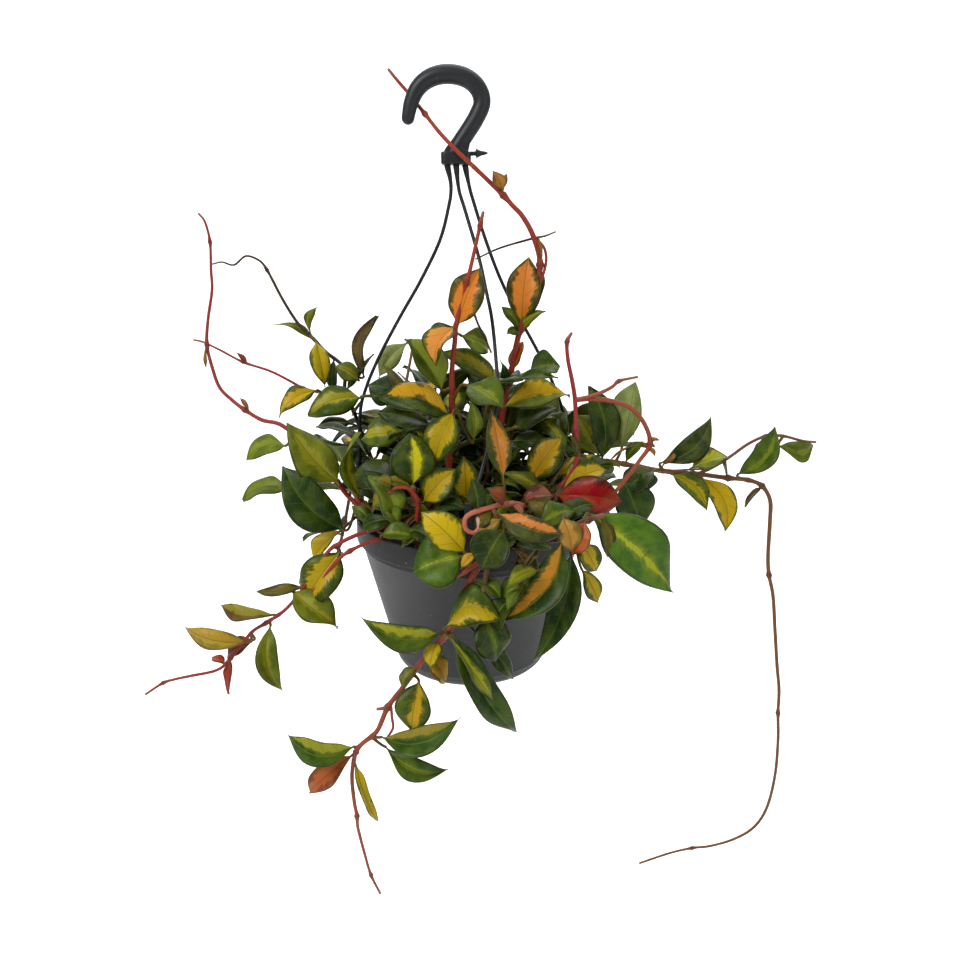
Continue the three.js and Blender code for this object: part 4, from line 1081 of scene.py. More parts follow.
def leafy_stem(name, layout, seed):
    """A leafy stem laid out in the camera's view, as a piece of stems and a piece of leaves.

    A stem's row says its name, radii at root and tip, nodes, tint and places, and for a side stem
    its parent and where it leaves that. A leaf's row says its stem and where it leaves that, its
    tip, width, turn away from the eye, bow, fold and look, and for most the base of its blade and
    how far its midrib bends aside.
    """
    dice = random.Random(seed)
    curves = {}
    stems, leaves = Skin(), Skin()
    grown = {}
    for stem_name, at, *_ in layout["leaves"]:
        grown.setdefault(stem_name, []).append(at)
    for stem_name, radii, nodes, tint, places, *branch in layout["stems"]:
        start = [curve_point(curves[branch[0]], branch[1])] if branch else rooted(*layout["root"])
        curves[stem_name] = start + [seen(place) for place in places]
        shoot(stems, curves[stem_name], radii, nodes, tint, grown.get(stem_name, []))
    for number, row in enumerate(layout["leaves"]):
        stem_name, at, tip, wide, turn, bow, fold, look, *more = row
        base, bend = (*more, *(None, 0)[len(more):])
        foot = curve_point(curves[stem_name], at)
        tip = seen(tip)
        base = seen(base) if base else foot.lerp(tip, PETIOLE_SHARE)
        up = facing(base, tip, turn)
        leaf(leaves, foot, base, tip, wide, up, bow, bend, fold, number, look, dice)
    planted(name, stems, leaves)


# Tall left stem: a red stem rooted left in the mix. It leans out over the rim and then stands to a
# dry bare tip, with its waxy leaves on its lower half and a thicker old piece at its foot.
TALL_LEFT = {
    "root": (-48, -8),
    "stems": [
        ("main", (2, 0.8), (5, 9, 13, 17), "red", [
            (382, 524, -14), (364, 510, -15), (348, 496, -15), (337, 482, -15), (312, 452, -12),
            (283, 426, -8), (262, 420, -5), (245, 410, -3), (232, 400, 0), (220, 388, 2), (213, 370, 4),
            (207, 345, 6), (208, 320, 8), (212, 290, 9), (211, 270, 10), (210, 242, 10), (205, 222, 10),
            (199, 214, 10),
        ]),
        ("swollen", (2.4, 1.5), (1,), "red", [
            (372, 520, -22), (362, 506, -24), (353, 492, -24),
        ], "main", 0.9),
    ],
    "leaves": [
        ("main", 5, (287, 423, -34), 32, 15, 4, 10, "olive_light", (338, 482, -26), -4),
        ("main", 6.6, (247, 460, -2), 20, 35, 3, 15, "light_arch", (285, 446, -8), 4),
        ("main", 5.4, (243, 501, -2), 21, 35, 3, 15, "light_arch", (288, 488, -8), 4),
        ("main", 3.4, (283, 466, -36), 34, 10, 5, 12, "dark_big", (343, 529, -34), -8),
        ("main", 3, (313, 562, -28), 20, 50, 2, 25, "yellow_wide", (341, 531, -26)),
        ("main", 3, (358, 432, -22), 20, 72, -13, 20, "lime", (368, 505, -22)),
        ("main", 5, (325, 450, -6), 10, 30, 2, 20, "olive"),
        ("main", 3, (350, 497, -22), 8, 30, 2, 25, "red", (368, 519, -20)),
        ("main", 2.6, (362, 503, -28), 8, 30, 2, 25, "bract", (378, 524, -24)),
        ("main", 13.1, (206, 367, 5), 3, 30, 1, 20, "bract"),
        ("main", 9, (240, 398, 0), 4, 30, 1, 20, "bract", (249, 411, -4)),
    ],
}
leafy_stem("hoya_tall_left", TALL_LEFT, 1)


# Upper left stem: thin, dark and woody, rooted behind the tall left one. It climbs from the crown's
# left and crosses to the tall stem, with a red side stem below it that carries its own leaves.
UPPER_LEFT = {
    "root": (-42, 24),
    "stems": [
        ("main", (1.8, 0.6), (6, 12), "dark_brown", [
            (388, 490, 26), (368, 450, 30), (354, 412, 32), (345, 392, 32), (344, 368, 34),
            (326, 352, 36), (310, 335, 37), (297, 322, 38), (283, 300, 39), (273, 281, 39),
            (267, 270, 39), (260, 261, 39), (246, 256, 39), (234, 265, 39), (222, 262, 39),
            (213, 264, 39),
        ]),
        ("side", (1.2, 0.7), (2, 5), "red", [
            (320, 392, 26), (303, 388, 24), (290, 381, 22), (270, 371, 20), (243, 362, 18),
            (220, 350, 18), (203, 342, 18), (194, 340, 18),
        ], "main", 5),
    ],
    "leaves": [
        ("main", 7.6, (273, 325, 36), 8, 35, 2, 24, "olive", None, 4),
        ("main", 8, (318, 307, 34), 10, 45, 2, 24, "olive", None, -4),
        ("main", 8, (325, 387, 22), 18, 30, 3, 15, "yellow_wide", (316, 342, 30), 2),
        ("main", 6.6, (333, 392, 28), 11, 30, 2, 15, "dark"),
        ("main", 6, (335, 366, 26), 17, 30, 3, 15, "olive", (358, 380, 28)),
        ("main", 6, (378, 316, 38), 18, 35, 3, 22, "bronze", (364, 376, 34), -8),
        ("side", 1, (279, 418, 10), 19, 35, 3, 18, "yellow_centre", (316, 391, 18), 4),
        ("main", 4, (308, 416, 14), 28, 30, 4, 12, "lime_streak", (360, 398, 20), 3),
        ("main", 3, (318, 427, 22), 16, 50, 3, 15, "dark", (350, 424, 24)),
        ("main", 3, (338, 455, 24), 16, 45, 3, 15, "dark"),
        ("main", 5, (374, 354, 40), 9, 40, 1, 15, "dark"),
        ("side", 4.8, (236, 352, 16), 4, 20, 1, 20, "red"),
    ],
}
leafy_stem("hoya_upper_left", UPPER_LEFT, 2)


# Lower left stem: a red stem rooted front left in the mix. It spills over the rim and reaches down
# to the left, with yellow and green leaves along it and a shorter twin beside it.
LOWER_LEFT = {
    "root": (-38, -42),
    "stems": [
        ("main", (1.6, 0.9), (7, 9, 11, 15), "red", [
            (400, 527, -48), (384, 528, -50), (362, 533, -56), (340, 543, -60), (326, 554, -62),
            (305, 586, -65), (286, 609, -68), (266, 623, -70), (251, 633, -70), (231, 658, -72),
            (217, 670, -73), (190, 676, -74), (176, 679, -74), (163, 683, -75), (146, 694, -76),
        ]),
        ("twin", (1.4, 1.2), (3,), "red_brown", [
            (394, 536, -54), (372, 541, -60), (350, 551, -64), (336, 562, -66), (315, 589, -68),
            (298, 604, -69),
        ], "main", 1),
    ],
    "leaves": [
        ("main", 5.4, (303, 606, -62), 32, 15, 4, 15, "yellow_centre", (340, 552, -60)),
        ("main", 7, (257, 592, -60), 13, 35, 2, 28, "olive_dark", None, -4),
        ("main", 7, (338, 628, -76), 28, 30, 4, 15, "olive_light", (293, 592, -66), 4),
        ("main", 8.4, (221, 605, -62), 17, 35, 2, 28, "olive_flap", None, -7),
        ("main", 8.8, (283, 691, -80), 20, 15, 4, 24, "olive_light", None, 9),
        ("main", 10, (183, 625, -66), 18, 35, 3, 24, "gold_pink", (250, 642, -69), -8),
        ("main", 10, (227, 658, -62), 15, 40, 3, 20, "mauve", (254, 640, -66)),
        ("main", 11, (229, 694, -76), 9, 35, 2, 20, "red"),
        ("main", 11.4, (212, 658, -66), 9, 40, 1, 20, "red"),
    ],
}
leafy_stem("hoya_lower_left", LOWER_LEFT, 3)


# Front stem: a thick pinkish red stem rooted at the front of the mix. It hangs down the front of
# the pot and far below it, with its leaves in pairs at swollen nodes and a bare end.
FRONT = {
    "root": (4, -54),
    "stems": [
        ("main", (2.5, 0.9), (3, 9, 12, 15, 18), "pink_red", [
            (488, 540, -83), (483, 558, -95), (466, 588, -99), (458, 612, -100), (447, 634, -101),
            (427, 654, -102), (404, 686, -103), (388, 707, -104), (377, 731, -105), (363, 743, -105),
            (356, 752, -106), (352, 775, -106), (354, 800, -106), (357, 816, -106), (358, 828, -106),
            (365, 855, -106), (371, 875, -106), (380, 893, -106),
        ]),
        ("stub", (1.7, 1.5), (), "pink_red", [(466, 571, -104), (451, 579, -106)], "main", 3),
        ("spur", (1.7, 1.6), (), "brown", [(487, 566, -104), (483, 592, -106)], "main", 2.8),
        ("hook", (1, 0.9), (), "pink_red", [
            (392, 718, -107), (393, 728, -108), (387, 738, -106),
        ], "main", 8.8),
        ("bud", (1.2, 1.1), (), "pink_red", [(384, 708, -106), (378, 709, -106)], "main", 8.8),
    ],
    "leaves": [
        ("main", 6, (361, 617, -110), 22, 15, 4, 24, "lime_top", None, -10),
        ("main", 6.4, (431, 668, -112), 17, 40, 3, 20, "yellow_wide"),
        ("main", 7.4, (402, 687, -108), 13, 40, 2, 20, "olive"),
        ("main", 7, (444, 684, -100), 18, 40, 3, 20, "gold"),
        ("main", 7.6, (412, 732, -112), 27, 15, 3, 15, "yellow_side", (419, 682, -106)),
        ("main", 6, (515, 732, -114), 29, 25, 6, 24, "dark_big", (454, 636, -108), 8),
        ("main", 6.2, (492, 699, -124), 14, 40, 4, 30, "lime", (452, 640, -116), 5),
        ("main", 10.4, (461, 717, -112), 23, 15, 3, 24, "green_lit", (382, 737, -108), 11),
        ("main", 10.4, (448, 769, -104), 19, 15, 3, 24, "green", (386, 747, -104), 9),
        ("main", 11.6, (288, 735, -108), 22, 15, 3, 24, "green_top", None, -11),
        ("main", 12, (309, 793, -104), 19, 10, 4, 20, "orange_red"),
        ("main", 12.4, (377, 821, -110), 11, 35, 2, 20, "yellow_wide", None, 5),
        ("main", 3, (413, 573, -106), 38, 20, 4, 10, "green_flash", (461, 557, -102)),
        ("main", 3, (421, 512, -92), 25, 15, 4, 10, "yellow_wide", (464, 552, -98)),
        ("main", 6, (503, 621, -114), 32, 25, 6, 20, "yellow_saddle", (447, 627, -110), -10),
        ("main", 4.6, (496, 661, -108), 29, 20, 4, 15, "dark_round", (484, 617, -106)),
        ("main", 5, (513, 679, -100), 16, 30, 2, 15, "dark", (488, 648, -102)),
        ("main", 3, (461, 569, -110), 9, 30, 2, 20, "gold", (476, 553, -106)),
        ("main", 4, (500, 598, -106), 17, 40, 4, 30, "green", (476, 582, -100)),
    ],
}
leafy_stem("hoya_front", FRONT, 4)


# Left crown: the upright stems and leaves on the left of the pot's mouth. A red-brown stem stands
# clear above them, and shorter brown ones branch from it near the mix.
LEFT_CROWN = {
    "root": (-16, -10),
    "stems": [
        ("main", (2.6, 1.1), (9, 11), "red_brown", [
            (449, 505, -18), (449, 470, -24), (451, 430, -30), (452, 400, -34), (452, 370, -38),
            (455, 340, -41), (456, 325, -43), (466, 283, -45), (470, 270, -45), (480, 226, -42),
            (483, 213, -42),
        ]),
        ("low", (2.2, 1.6), (3,), "brown", [
            (434, 505, -50), (420, 512, -58), (414, 502, -62), (413, 488, -64),
        ], "main", 1),
        ("mid", (1.8, 1.4), (2,), "green_brown", [
            (438, 420, -22), (418, 412, -14), (404, 398, -8),
        ], "main", 3),
        ("twig", (0.9, 0.7), (), "dark_brown", [
            (472, 309, -38), (478, 324, -34), (485, 338, -31), (491, 352, -28),
        ], "main", 8.6),
        ("arch", (1.5, 1.1), (2,), "red_brown", [
            (417, 520, -68), (418, 502, -70), (409, 489, -72), (396, 488, -72), (389, 493, -71),
        ], "low", 1.5),
        ("wisp", (0.8, 0.7), (), "green_brown", [
            (412, 522, -70), (405, 530, -74), (399, 536, -78),
        ], "low", 1),
    ],
    "leaves": [
        ("main", 8, (480, 268, -40), 27, 15, 3, 15, "orange_centre", (458, 324, -42)),
        ("main", 8, (436, 366, -48), 26, 35, 8, 25, "peach_centre"),
        ("main", 8, (428, 350, -34), 18, 40, 5, 15, "dark"),
        ("main", 7.6, (488, 352, -20), 21, 35, 5, 15, "light_green", (462, 336, -30)),
        ("main", 5.4, (404, 339, -40), 31, 30, 4, 30, "light_dark", (441, 390, -38)),
        ("mid", 3, (379, 378, 26), 18, 30, 6, 15, "pale", (407, 343, 24)),
        ("mid", 3, (368, 386, 0), 31, 30, 3, 10, "dark", (400, 394, -4)),
        ("mid", 2.6, (384, 366, 2), 13, 40, 2, 15, "olive_dark"),
        ("main", 4, (379, 399, -50), 29, 30, 5, 22, "gold_half", (448, 415, -42), 3),
        ("main", 4, (378, 413, -44), 24, 45, 3, 12, "dark", (430, 426, -40)),
        ("main", 4, (435, 464, -56), 31, 20, 5, 25, "yellow_centre", (453, 413, -48)),
        ("mid", 2, (361, 440, -26), 27, 35, 5, 15, "lime_streak", (402, 436, -30)),
        ("low", 4, (410, 433, -60), 34, 15, 3, 15, "dark_streak"),
        ("low", 4, (379, 484, -66), 16, 55, 3, 25, "curly"),
        ("low", 3, (456, 469, -58), 24, 20, 3, 12, "yellow_centre", (424, 502, -60)),
        ("low", 1.6, (372, 512, -52), 27, 45, 7, 30, "curly", (402, 508, -58)),
        ("main", 2.4, (463, 456, -48), 22, 20, 2, 15, "yellow_centre", (465, 505, -44)),
        ("low", 2, (380, 536, -84), 18, 45, 3, 20, "green", (416, 539, -84)),
        ("main", 5, (470, 400, -30), 15, 40, 2, 15, "light_green", (473, 440, -30)),
        ("mid", 1, (398, 372, 24), 15, 50, 2, 15, "dark"),
        ("main", 5, (503, 409, -66), 27, 35, 4, 12, "green", (468, 386, -52)),
        ("low", 2, (354, 476, -36), 29, 25, 4, 12, "dark", (398, 482, -44)),
        ("main", 3, (404, 436, -8), 25, 30, 4, 12, "dark_streak", (440, 452, -14)),
        ("arch", 4.6, (374, 480, -72), 14, 35, 4, 35, "curly"),
        ("low", 1, (377, 505, -70), 18, 40, 4, 40, "light_green", (397, 530, -72)),
        ("low", 2, (358, 470, -40), 20, 40, 5, 20, "dark", (392, 496, -46), -3),
        ("low", 2, (368, 476, -64), 28, 30, 8, 30, "light_green", (392, 524, -70), 3),
        ("low", 2, (363, 530, -58), 18, 35, 4, 20, "dark", (394, 520, -64)),
        ("low", 1, (352, 506, -30), 14, 35, 3, 20, "green", (376, 530, -40)),
        ("low", 1, (436, 548, -86), 20, 30, 5, 22, "dark", (410, 530, -78)),
        ("low", 1, (466, 508, -64), 22, 50, 4, 20, "dark", (432, 512, -56)),
        ("low", 1, (402, 548, -84), 15, 40, 3, 30, "olive", (424, 533, -80)),
    ],
}
leafy_stem("hoya_left_crown", LEFT_CROWN, 5)


# Right crown: the tall red-brown stem that climbs to the hook and leans over it to a bare tip. Thin
# dark twigs leave it halfway up, and leaves stand round its foot.
RIGHT_CROWN = {
    "root": (16, 8),
    "stems": [
        ("main", (2.6, 1.1), (7, 9, 13, 17), "red_brown", [
            (498, 500, 4), (500, 470, 2), (501, 430, -4), (505, 395, -8), (511, 372, -8), (520, 330, -8),
            (533, 300, -8), (540, 265, -8), (534, 238, -8), (523, 217, -9), (512, 205, -10),
            (503, 195, -10), (475, 168, -13), (458, 152, -14), (440, 133, -9), (425, 114, 2),
            (410, 95, 12), (397, 80, 14), (389, 70, 15),
        ]),
        ("twig", (0.9, 0.6), (), "dark_brown", [(500, 248, -3), (476, 259, -6)], "main", 10),
        ("shoot", (0.8, 0.6), (), "dark_brown", [(545, 236, -10), (555, 232, -11)], "main", 10),
        ("side", (1.8, 1.2), (2,), "green_brown", [(520, 418, 8), (540, 428, 14)], "main", 3),
        ("fork", (1.1, 0.9), (), "red_brown", [
            (545, 268, -8), (545, 250, -7), (538, 240, -6),
        ], "main", 7.9),
    ],
    "leaves": [
        ("main", 7.1, (529, 257, -2), 28, 15, 3, 20, "orange_centre"),
        ("main", 8, (545, 272, 2), 17, 40, 3, 20, "green_streak", (533, 316, -4)),
        ("main", 7, (502, 307, -12), 11, 40, 1, 20, "green"),
        ("main", 7, (546, 311, -14), 12, 45, 2, 20, "lime"),
        ("main", 7, (507, 334, -14), 10, 40, 1, 20, "green"),
        ("main", 6, (523, 342, -4), 12, 25, 1, 20, "orange"),
        ("main", 5.6, (560, 367, 2), 26, 35, 4, 15, "green", (530, 372, -2)),
        ("main", 5.6, (558, 378, -12), 12, 50, 3, 15, "green"),
        ("main", 4.6, (570, 396, -20), 29, 30, 5, 30, "yellow_upper", (505, 407, -18), -3),
        ("side", 1, (557, 408, -6), 22, 50, 4, 15, "dark", (514, 432, -8)),
        ("side", 2, (566, 412, 4), 27, 35, 4, 15, "dark", (556, 438, 4)),
        ("side", 1.4, (553, 446, -12), 20, 40, 3, 12, "dark", (512, 442, -12)),
        ("main", 3, (563, 437, -24), 31, 20, 5, 18, "gold_centre", (532, 480, -26)),
        ("main", 2, (503, 474, -34), 21, 45, 4, 12, "olive", (541, 494, -32)),
        ("main", 4.8, (443, 352, -22), 26, 35, 4, 30, "yellow_stripe", (494, 382, -18)),
        ("main", 3.6, (526, 380, 18), 25, 30, 4, 12, "dark", (508, 428, 10)),
        ("side", 1.4, (576, 452, 6), 22, 35, 4, 12, "dark", (536, 444, 8)),
        ("main", 2, (550, 466, 12), 27, 30, 3, 12, "dark", (508, 486, 10)),
        ("main", 5, (500, 360, -18), 10, 50, 2, 15, "dark"),
        ("main", 13, (493, 171, -12), 12, 20, 2, 25, "bract", (502, 190, -12)),
        ("main", 13, (507, 173, -8), 6, 30, 1, 25, "bract", (503, 191, -9)),
        ("main", 8, (538, 236, -12), 4, 20, 1, 20, "bract", (541, 262, -10)),
    ],
}
leafy_stem("hoya_right_crown", RIGHT_CROWN, 6)


# Middle right stem: a red stem rooted right of the middle. It rises, and a side stem arches over
# from it in a loop. A pink curled stem and a crimson leaf grow low on it.
MIDDLE_RIGHT = {
    "root": (34, -20),
    "stems": [
        ("main", (2.2, 1.1), (4, 6, 10), "red", [
            (532, 515, -34), (552, 500, -40), (562, 486, -42), (577, 460, -42), (576, 430, -40),
            (575, 400, -38), (572, 380, -38), (568, 360, -38), (567, 342, -38), (571, 334, -38),
        ]),
        ("arch", (1.7, 1.4), (5,), "pink_red", [
            (590, 399, -38), (612, 401, -38), (632, 409, -37), (645, 425, -36), (650, 444, -35),
            (640, 460, -36), (625, 480, -38), (611, 497, -42),
        ], "main", 7),
        ("side", (1.5, 0.9), (3,), "pink_red", [
            (595, 395, -40), (612, 387, -40), (619, 381, -40), (637, 377, -40),
        ], "arch", 0),
        ("curl", (1.7, 1.4), (2,), "pink", [
            (522, 505, -68), (505, 504, -90), (488, 508, -98), (472, 513, -101), (465, 519, -102),
            (466, 529, -102), (473, 533, -102), (479, 528, -101), (478, 519, -99),
        ], "main", 2),
    ],
    "leaves": [
        ("main", 4, (622, 501, -54), 33, 10, 5, 18, "crimson", (558, 496, -52)),
        ("main", 3, (521, 502, -50), 18, 35, 4, 20, "pink", (553, 496, -50)),
        ("main", 4, (607, 470, -38), 26, 30, 4, 20, "yellow_centre", (564, 488, -44)),
        ("curl", 2, (488, 489, -98), 13, 30, 2, 15, "red_orange"),
        ("curl", 1.6, (523, 515, -88), 7, 40, 1, 15, "pink"),
        ("main", 5, (568, 433, -44), 8, 50, 2, 20, "olive_dark"),
        ("curl", 2, (491, 409, -74), 17, 15, 2, 15, "gold_brown", (503, 478, -90)),
        ("curl", 3.6, (472, 478, -101), 13, 20, 2, 12, "dark"),
        ("curl", 0.8, (548, 520, -74), 20, 40, 4, 20, "olive_dark", (528, 502, -66)),
        ("arch", 5.2, (655, 456, -38), 4, 30, 1, 20, "bract"),
        ("arch", 4.8, (659, 440, -38), 4, 30, 1, 20, "bract"),
    ],
}
leafy_stem("hoya_middle_right", MIDDLE_RIGHT, 7)


# Front right stem: a short thick brown stem rooted at the front right of the mix. It lies over the
# rim and carries the largest green leaf, with smaller leaves crowded round its foot.
FRONT_RIGHT = {
    "root": (30, -50),
    "stems": [
        ("main", (2.5, 1.6), (4, 6), "brown", [
            (521, 541, -82), (540, 541, -94), (556, 538, -98), (574, 526, -96), (588, 520, -90),
            (602, 516, -86),
        ]),
        ("down", (2, 1.5), (2,), "brown", [(521, 562, -100), (523, 580, -104)], "main", 2),
        ("left", (1.9, 1.3), (2,), "brown", [(516, 534, -99), (501, 522, -99), (494, 511, -97)], "main", 3),
    ],
    "leaves": [
        ("main", 4, (500, 621, -114), 26, 10, -6, 18, "gold_edge", (562, 540, -106), -10),
        ("main", 4.6, (536, 660, -98), 26, 20, -5, 12, "dark_big", (571, 553, -98), -6),
        ("main", 5.6, (672, 592, -70), 40, 15, 5, 12, "bright_streak", (590, 514, -82), -4),
        ("main", 6, (573, 555, -100), 17, 5, 3, 4, "orange_pink", (585, 522, -99)),
        ("main", 5, (596, 571, -92), 18, 20, 3, 15, "yellow_centre", (580, 543, -96)),
        ("main", 7, (608, 557, -84), 15, 35, 4, 20, "olive_dark"),
        ("left", 2, (564, 534, -112), 20, 15, 4, 18, "orange_dark", (499, 514, -101), 5),
        ("main", 5, (598, 603, -88), 15, 35, 2, 15, "yellow_centre", (582, 570, -94)),
        ("left", 2, (482, 570, -112), 30, 15, 4, 20, "dark", (504, 530, -106)),
        ("down", 1.2, (507, 588, -118), 19, 20, 6, 44, "lime", (537, 571, -110)),
        ("down", 2, (507, 610, -118), 9, 20, 4, 30, "light_green", (521, 589, -112)),
        ("left", 3, (482, 546, -104), 14, 20, 2, 12, "tan", (501, 519, -102), 3),
        ("down", 1.6, (514, 548, -112), 11, 50, 4, 35, "dried"),
        ("down", 1.8, (538, 556, -116), 11, 50, 4, 35, "dried"),
        ("down", 1.4, (530, 566, -112), 12, 40, 5, 45, "dried", None, 3),
        ("down", 1.2, (518, 561, -114), 9, 40, 5, 45, "dried", None, -3),
        ("down", 1.8, (536, 548, -114), 8, 40, 5, 45, "dried", None, 3),
        ("left", 1.2, (497, 560, -112), 24, 35, 5, 28, "dark", (519, 536, -104), 2),
        ("main", 2, (527, 592, -103), 24, 40, 5, 25, "dark", (519, 550, -100)),
        ("down", 2, (500, 632, -110), 22, 35, 5, 25, "dark", (514, 598, -104), 2),
        ("main", 3, (505, 612, -102), 22, 35, 5, 20, "green", (528, 578, -100)),
        ("main", 5, (571, 552, -104), 19, 20, 3, 15, "tan", (563, 518, -100)),
        ("left", 1, (575, 512, -84), 22, 30, 4, 20, "green", (540, 524, -90)),
        ("main", 3, (594, 505, -70), 20, 30, 4, 20, "dark", (558, 520, -78)),
        ("main", 4, (551, 548, -112), 15, 30, 4, 25, "dark", (513, 538, -106), 3),
        ("left", 2.4, (476, 530, -98), 14, 30, 3, 15, "olive_dark", (492, 512, -97)),
    ],
}
leafy_stem("hoya_front_right", FRONT_RIGHT, 8)


# Right stem: an olive-brown stem rooted right in the mix. It runs out level to the right with its
# leaves along it, and then hangs in a long bare loop that ends below the pot.
RIGHT = {
    "root": (50, 8),
    "stems": [
        ("main", (2, 0.9), (8, 10, 14, 19, 26), "olive_brown", [
            (560, 490, 5), (580, 470, 2), (600, 461, 0), (640, 467, 0), (663, 471, 0), (697, 474, 0),
            (728, 478, 0), (748, 480, 0), (762, 486, 0), (770, 500, -1), (770, 520, -2), (768, 556, -4),
            (769, 575, -5), (773, 596, -5), (775, 630, -6), (777, 665, -7), (779, 690, -8),
            (778, 713, -8), (778, 740, -9), (775, 775, -10), (767, 807, -10), (754, 827, -10),
            (734, 839, -10), (710, 846, -10), (692, 848, -10), (670, 853, -10), (640, 863, -10),
        ]),
        ("side", (1.3, 1), (4,), "olive_brown", [
            (715, 466, 6), (731, 456, 8), (748, 444, 9), (766, 436, 10), (783, 436, 10), (803, 441, 10),
            (815, 442, 10),
        ], "main", 7),
    ],
    "leaves": [
        ("main", 4.4, (635, 382, 14), 31, 30, 4, 22, "pale", (622, 447, 10), 3),
        ("main", 4.6, (644, 441, 2), 10, 40, 2, 15, "green"),
        ("main", 4, (589, 386, 10), 28, 25, 4, 15, "dark", (602, 458, 6), 4),
        ("main", 3.4, (577, 415, 24), 34, 30, 3, 12, "olive_light", (598, 454, 16)),
        ("main", 6, (624, 494, -14), 24, 35, 4, 15, "dark", (654, 471, -6)),
        ("main", 4, (590, 480, -22), 24, 40, 3, 12, "dark", (612, 464, -14)),
        ("main", 5, (646, 492, -10), 20, 40, 3, 12, "dark"),
        ("main", 6, (711, 416, 6), 23, 15, 4, 24, "dark", (660, 463, 2), 10),
        ("main", 7, (730, 458, -8), 26, 45, 4, 20, "lime", (692, 468, -6)),
        ("main", 8, (712, 448, -4), 8, 50, 3, 25, "dried"),
        ("main", 6.2, (707, 511, -10), 19, 15, 3, 24, "yellow_stripe", None, -5),
        ("main", 7.1, (725, 531, -8), 23, 15, 4, 24, "yellow_wide", None, -7),
        ("main", 9, (775, 427, -4), 23, 15, 5, 24, "green", (738, 474, -6), 10),
        ("side", 5, (813, 445, 16), 20, 15, 4, 26, "light_green", (779, 446, 14), 7),
        ("main", 10, (745, 507, -6), 8, 40, 1, 20, "bronze"),
        ("side", 4, (752, 467, 12), 9, 50, 2, 25, "dried"),
        ("main", 5, (640, 530, -20), 34, 25, 3, 12, "dark_big", (624, 482, -14)),
        ("side", 0.6, (676, 452, 2), 6, 40, 3, 30, "bract", (664, 464, 0), 5),
        ("main", 4.2, (655, 446, 0), 5, 40, 3, 30, "bract", None, -4),
    ],
}
leafy_stem("hoya_right", RIGHT, 9)


# Crown filling: short green-brown shoots that stand close together in the pot between the long
# stems. Their leaves grow in pairs, each pair a quarter turn from the last.
CROWN_SHOOTS = 32
CROWN_SPREAD = 60
CROWN_FRONT = -16
CROWN_LEAF_FRONT = -46
CROWN_LOW = 24
CROWN_LOW_LEAF = 0.62
CROWN_LOW_FRONT = -74
CROWN_HEIGHT = 104
CROWN_FALL = 58
CROWN_LEAN = 0.45
CROWN_STEP = 19
CROWN_UNEVEN = 8
CROWN_SWAY = 4
CROWN_INNER = 8
CROWN_SWING = 0.4
CROWN_CLIMB = (0.15, 0.75)
CROWN_TOP_CLIMB = 0.35
CROWN_LEAF = (38, 56)
CROWN_LEAF_WIDTH = (0.42, 0.58)
CROWN_LEAF_BOW = (2, 7)
CROWN_LEAF_BEND = 3
CROWN_LEAF_FOLD = 14
CROWN_RADII = (1.9, 1.1)
CROWN_TURN = math.radians(137.5)
CROWN_LOOKS = [
    "dark", "green", "olive", "dark", "yellow_centre", "dark", "light_green", "dark_round",
    "lime_streak", "dark", "olive_dark", "gold_centre", "dark", "green_streak", "dark",
]
crown_dice = random.Random(41)
crown_skins = {"hoya_left_crown": (Skin(), Skin()), "hoya_right_crown": (Skin(), Skin())}
for number in range(CROWN_SHOOTS):
    reach = CROWN_INNER + CROWN_SPREAD * math.sqrt(number / CROWN_SHOOTS)
    outward = Vector((math.cos(number * CROWN_TURN), math.sin(number * CROWN_TURN), 0))
    root = outward * reach
    low = root.y < CROWN_FRONT
    stems, leaves = crown_skins["hoya_left_crown" if root.x < 0 else "hoya_right_crown"]
    height = CROWN_HEIGHT - CROWN_FALL * reach / CROWN_SPREAD
    height += crown_dice.uniform(-CROWN_UNEVEN, CROWN_UNEVEN)
    if low:
        height = CROWN_LOW
    points = rooted(root.x, root.y)
    steps = max(2, round((height - STEM_LIFT) / CROWN_STEP))
    for step in range(1, steps + 1):
        share = step / steps
        sway = Vector([crown_dice.uniform(-CROWN_SWAY, CROWN_SWAY) for _ in range(2)] + [0])
        point = root + outward * (0 if low else reach) * CROWN_LEAN * share**1.5 + sway
        point.z = SOIL_TOP + STEM_LIFT + (height - STEM_LIFT) * share
        points.append(point)
    quarter = crown_dice.uniform(0, math.pi)
    for pair in range(1, len(points)):
        foot = curve_point(points, pair)
        for side in range(2):
            swing = crown_dice.uniform(-CROWN_SWING, CROWN_SWING)
            turn = quarter + pair * math.pi / 2 + side * math.pi + swing
            climb = crown_dice.uniform(*CROWN_CLIMB) + CROWN_TOP_CLIMB * (pair == len(points) - 1)
            way = Vector((math.cos(turn), math.sin(turn), climb)).normalized()
            length = crown_dice.uniform(*CROWN_LEAF) * (CROWN_LOW_LEAF if low else 1)
            tip = foot + way * length
            if tip.y < (CROWN_LOW_FRONT if low else CROWN_LEAF_FRONT):
                continue
            base = foot.lerp(tip, PETIOLE_SHARE)
            wide = length * crown_dice.uniform(*CROWN_LEAF_WIDTH)
            look = CROWN_LOOKS[crown_dice.randrange(len(CROWN_LOOKS))]
            bow = crown_dice.uniform(*CROWN_LEAF_BOW)
            bend = crown_dice.uniform(-CROWN_LEAF_BEND, CROWN_LEAF_BEND)
            up = Vector((0, 0, 1))
            leaf(leaves, foot, base, tip, wide, up, bow, bend, CROWN_LEAF_FOLD, pair, look, crown_dice)
    shoot(stems, points, CROWN_RADII, range(1, len(points) - 1), "green_brown")
for name, (stems, leaves) in crown_skins.items():
    stems.piece(f"{name}_filling_stems", STEM_BARK, name)
    leaves.piece(f"{name}_filling_leaves", LEAF_WAX, name)


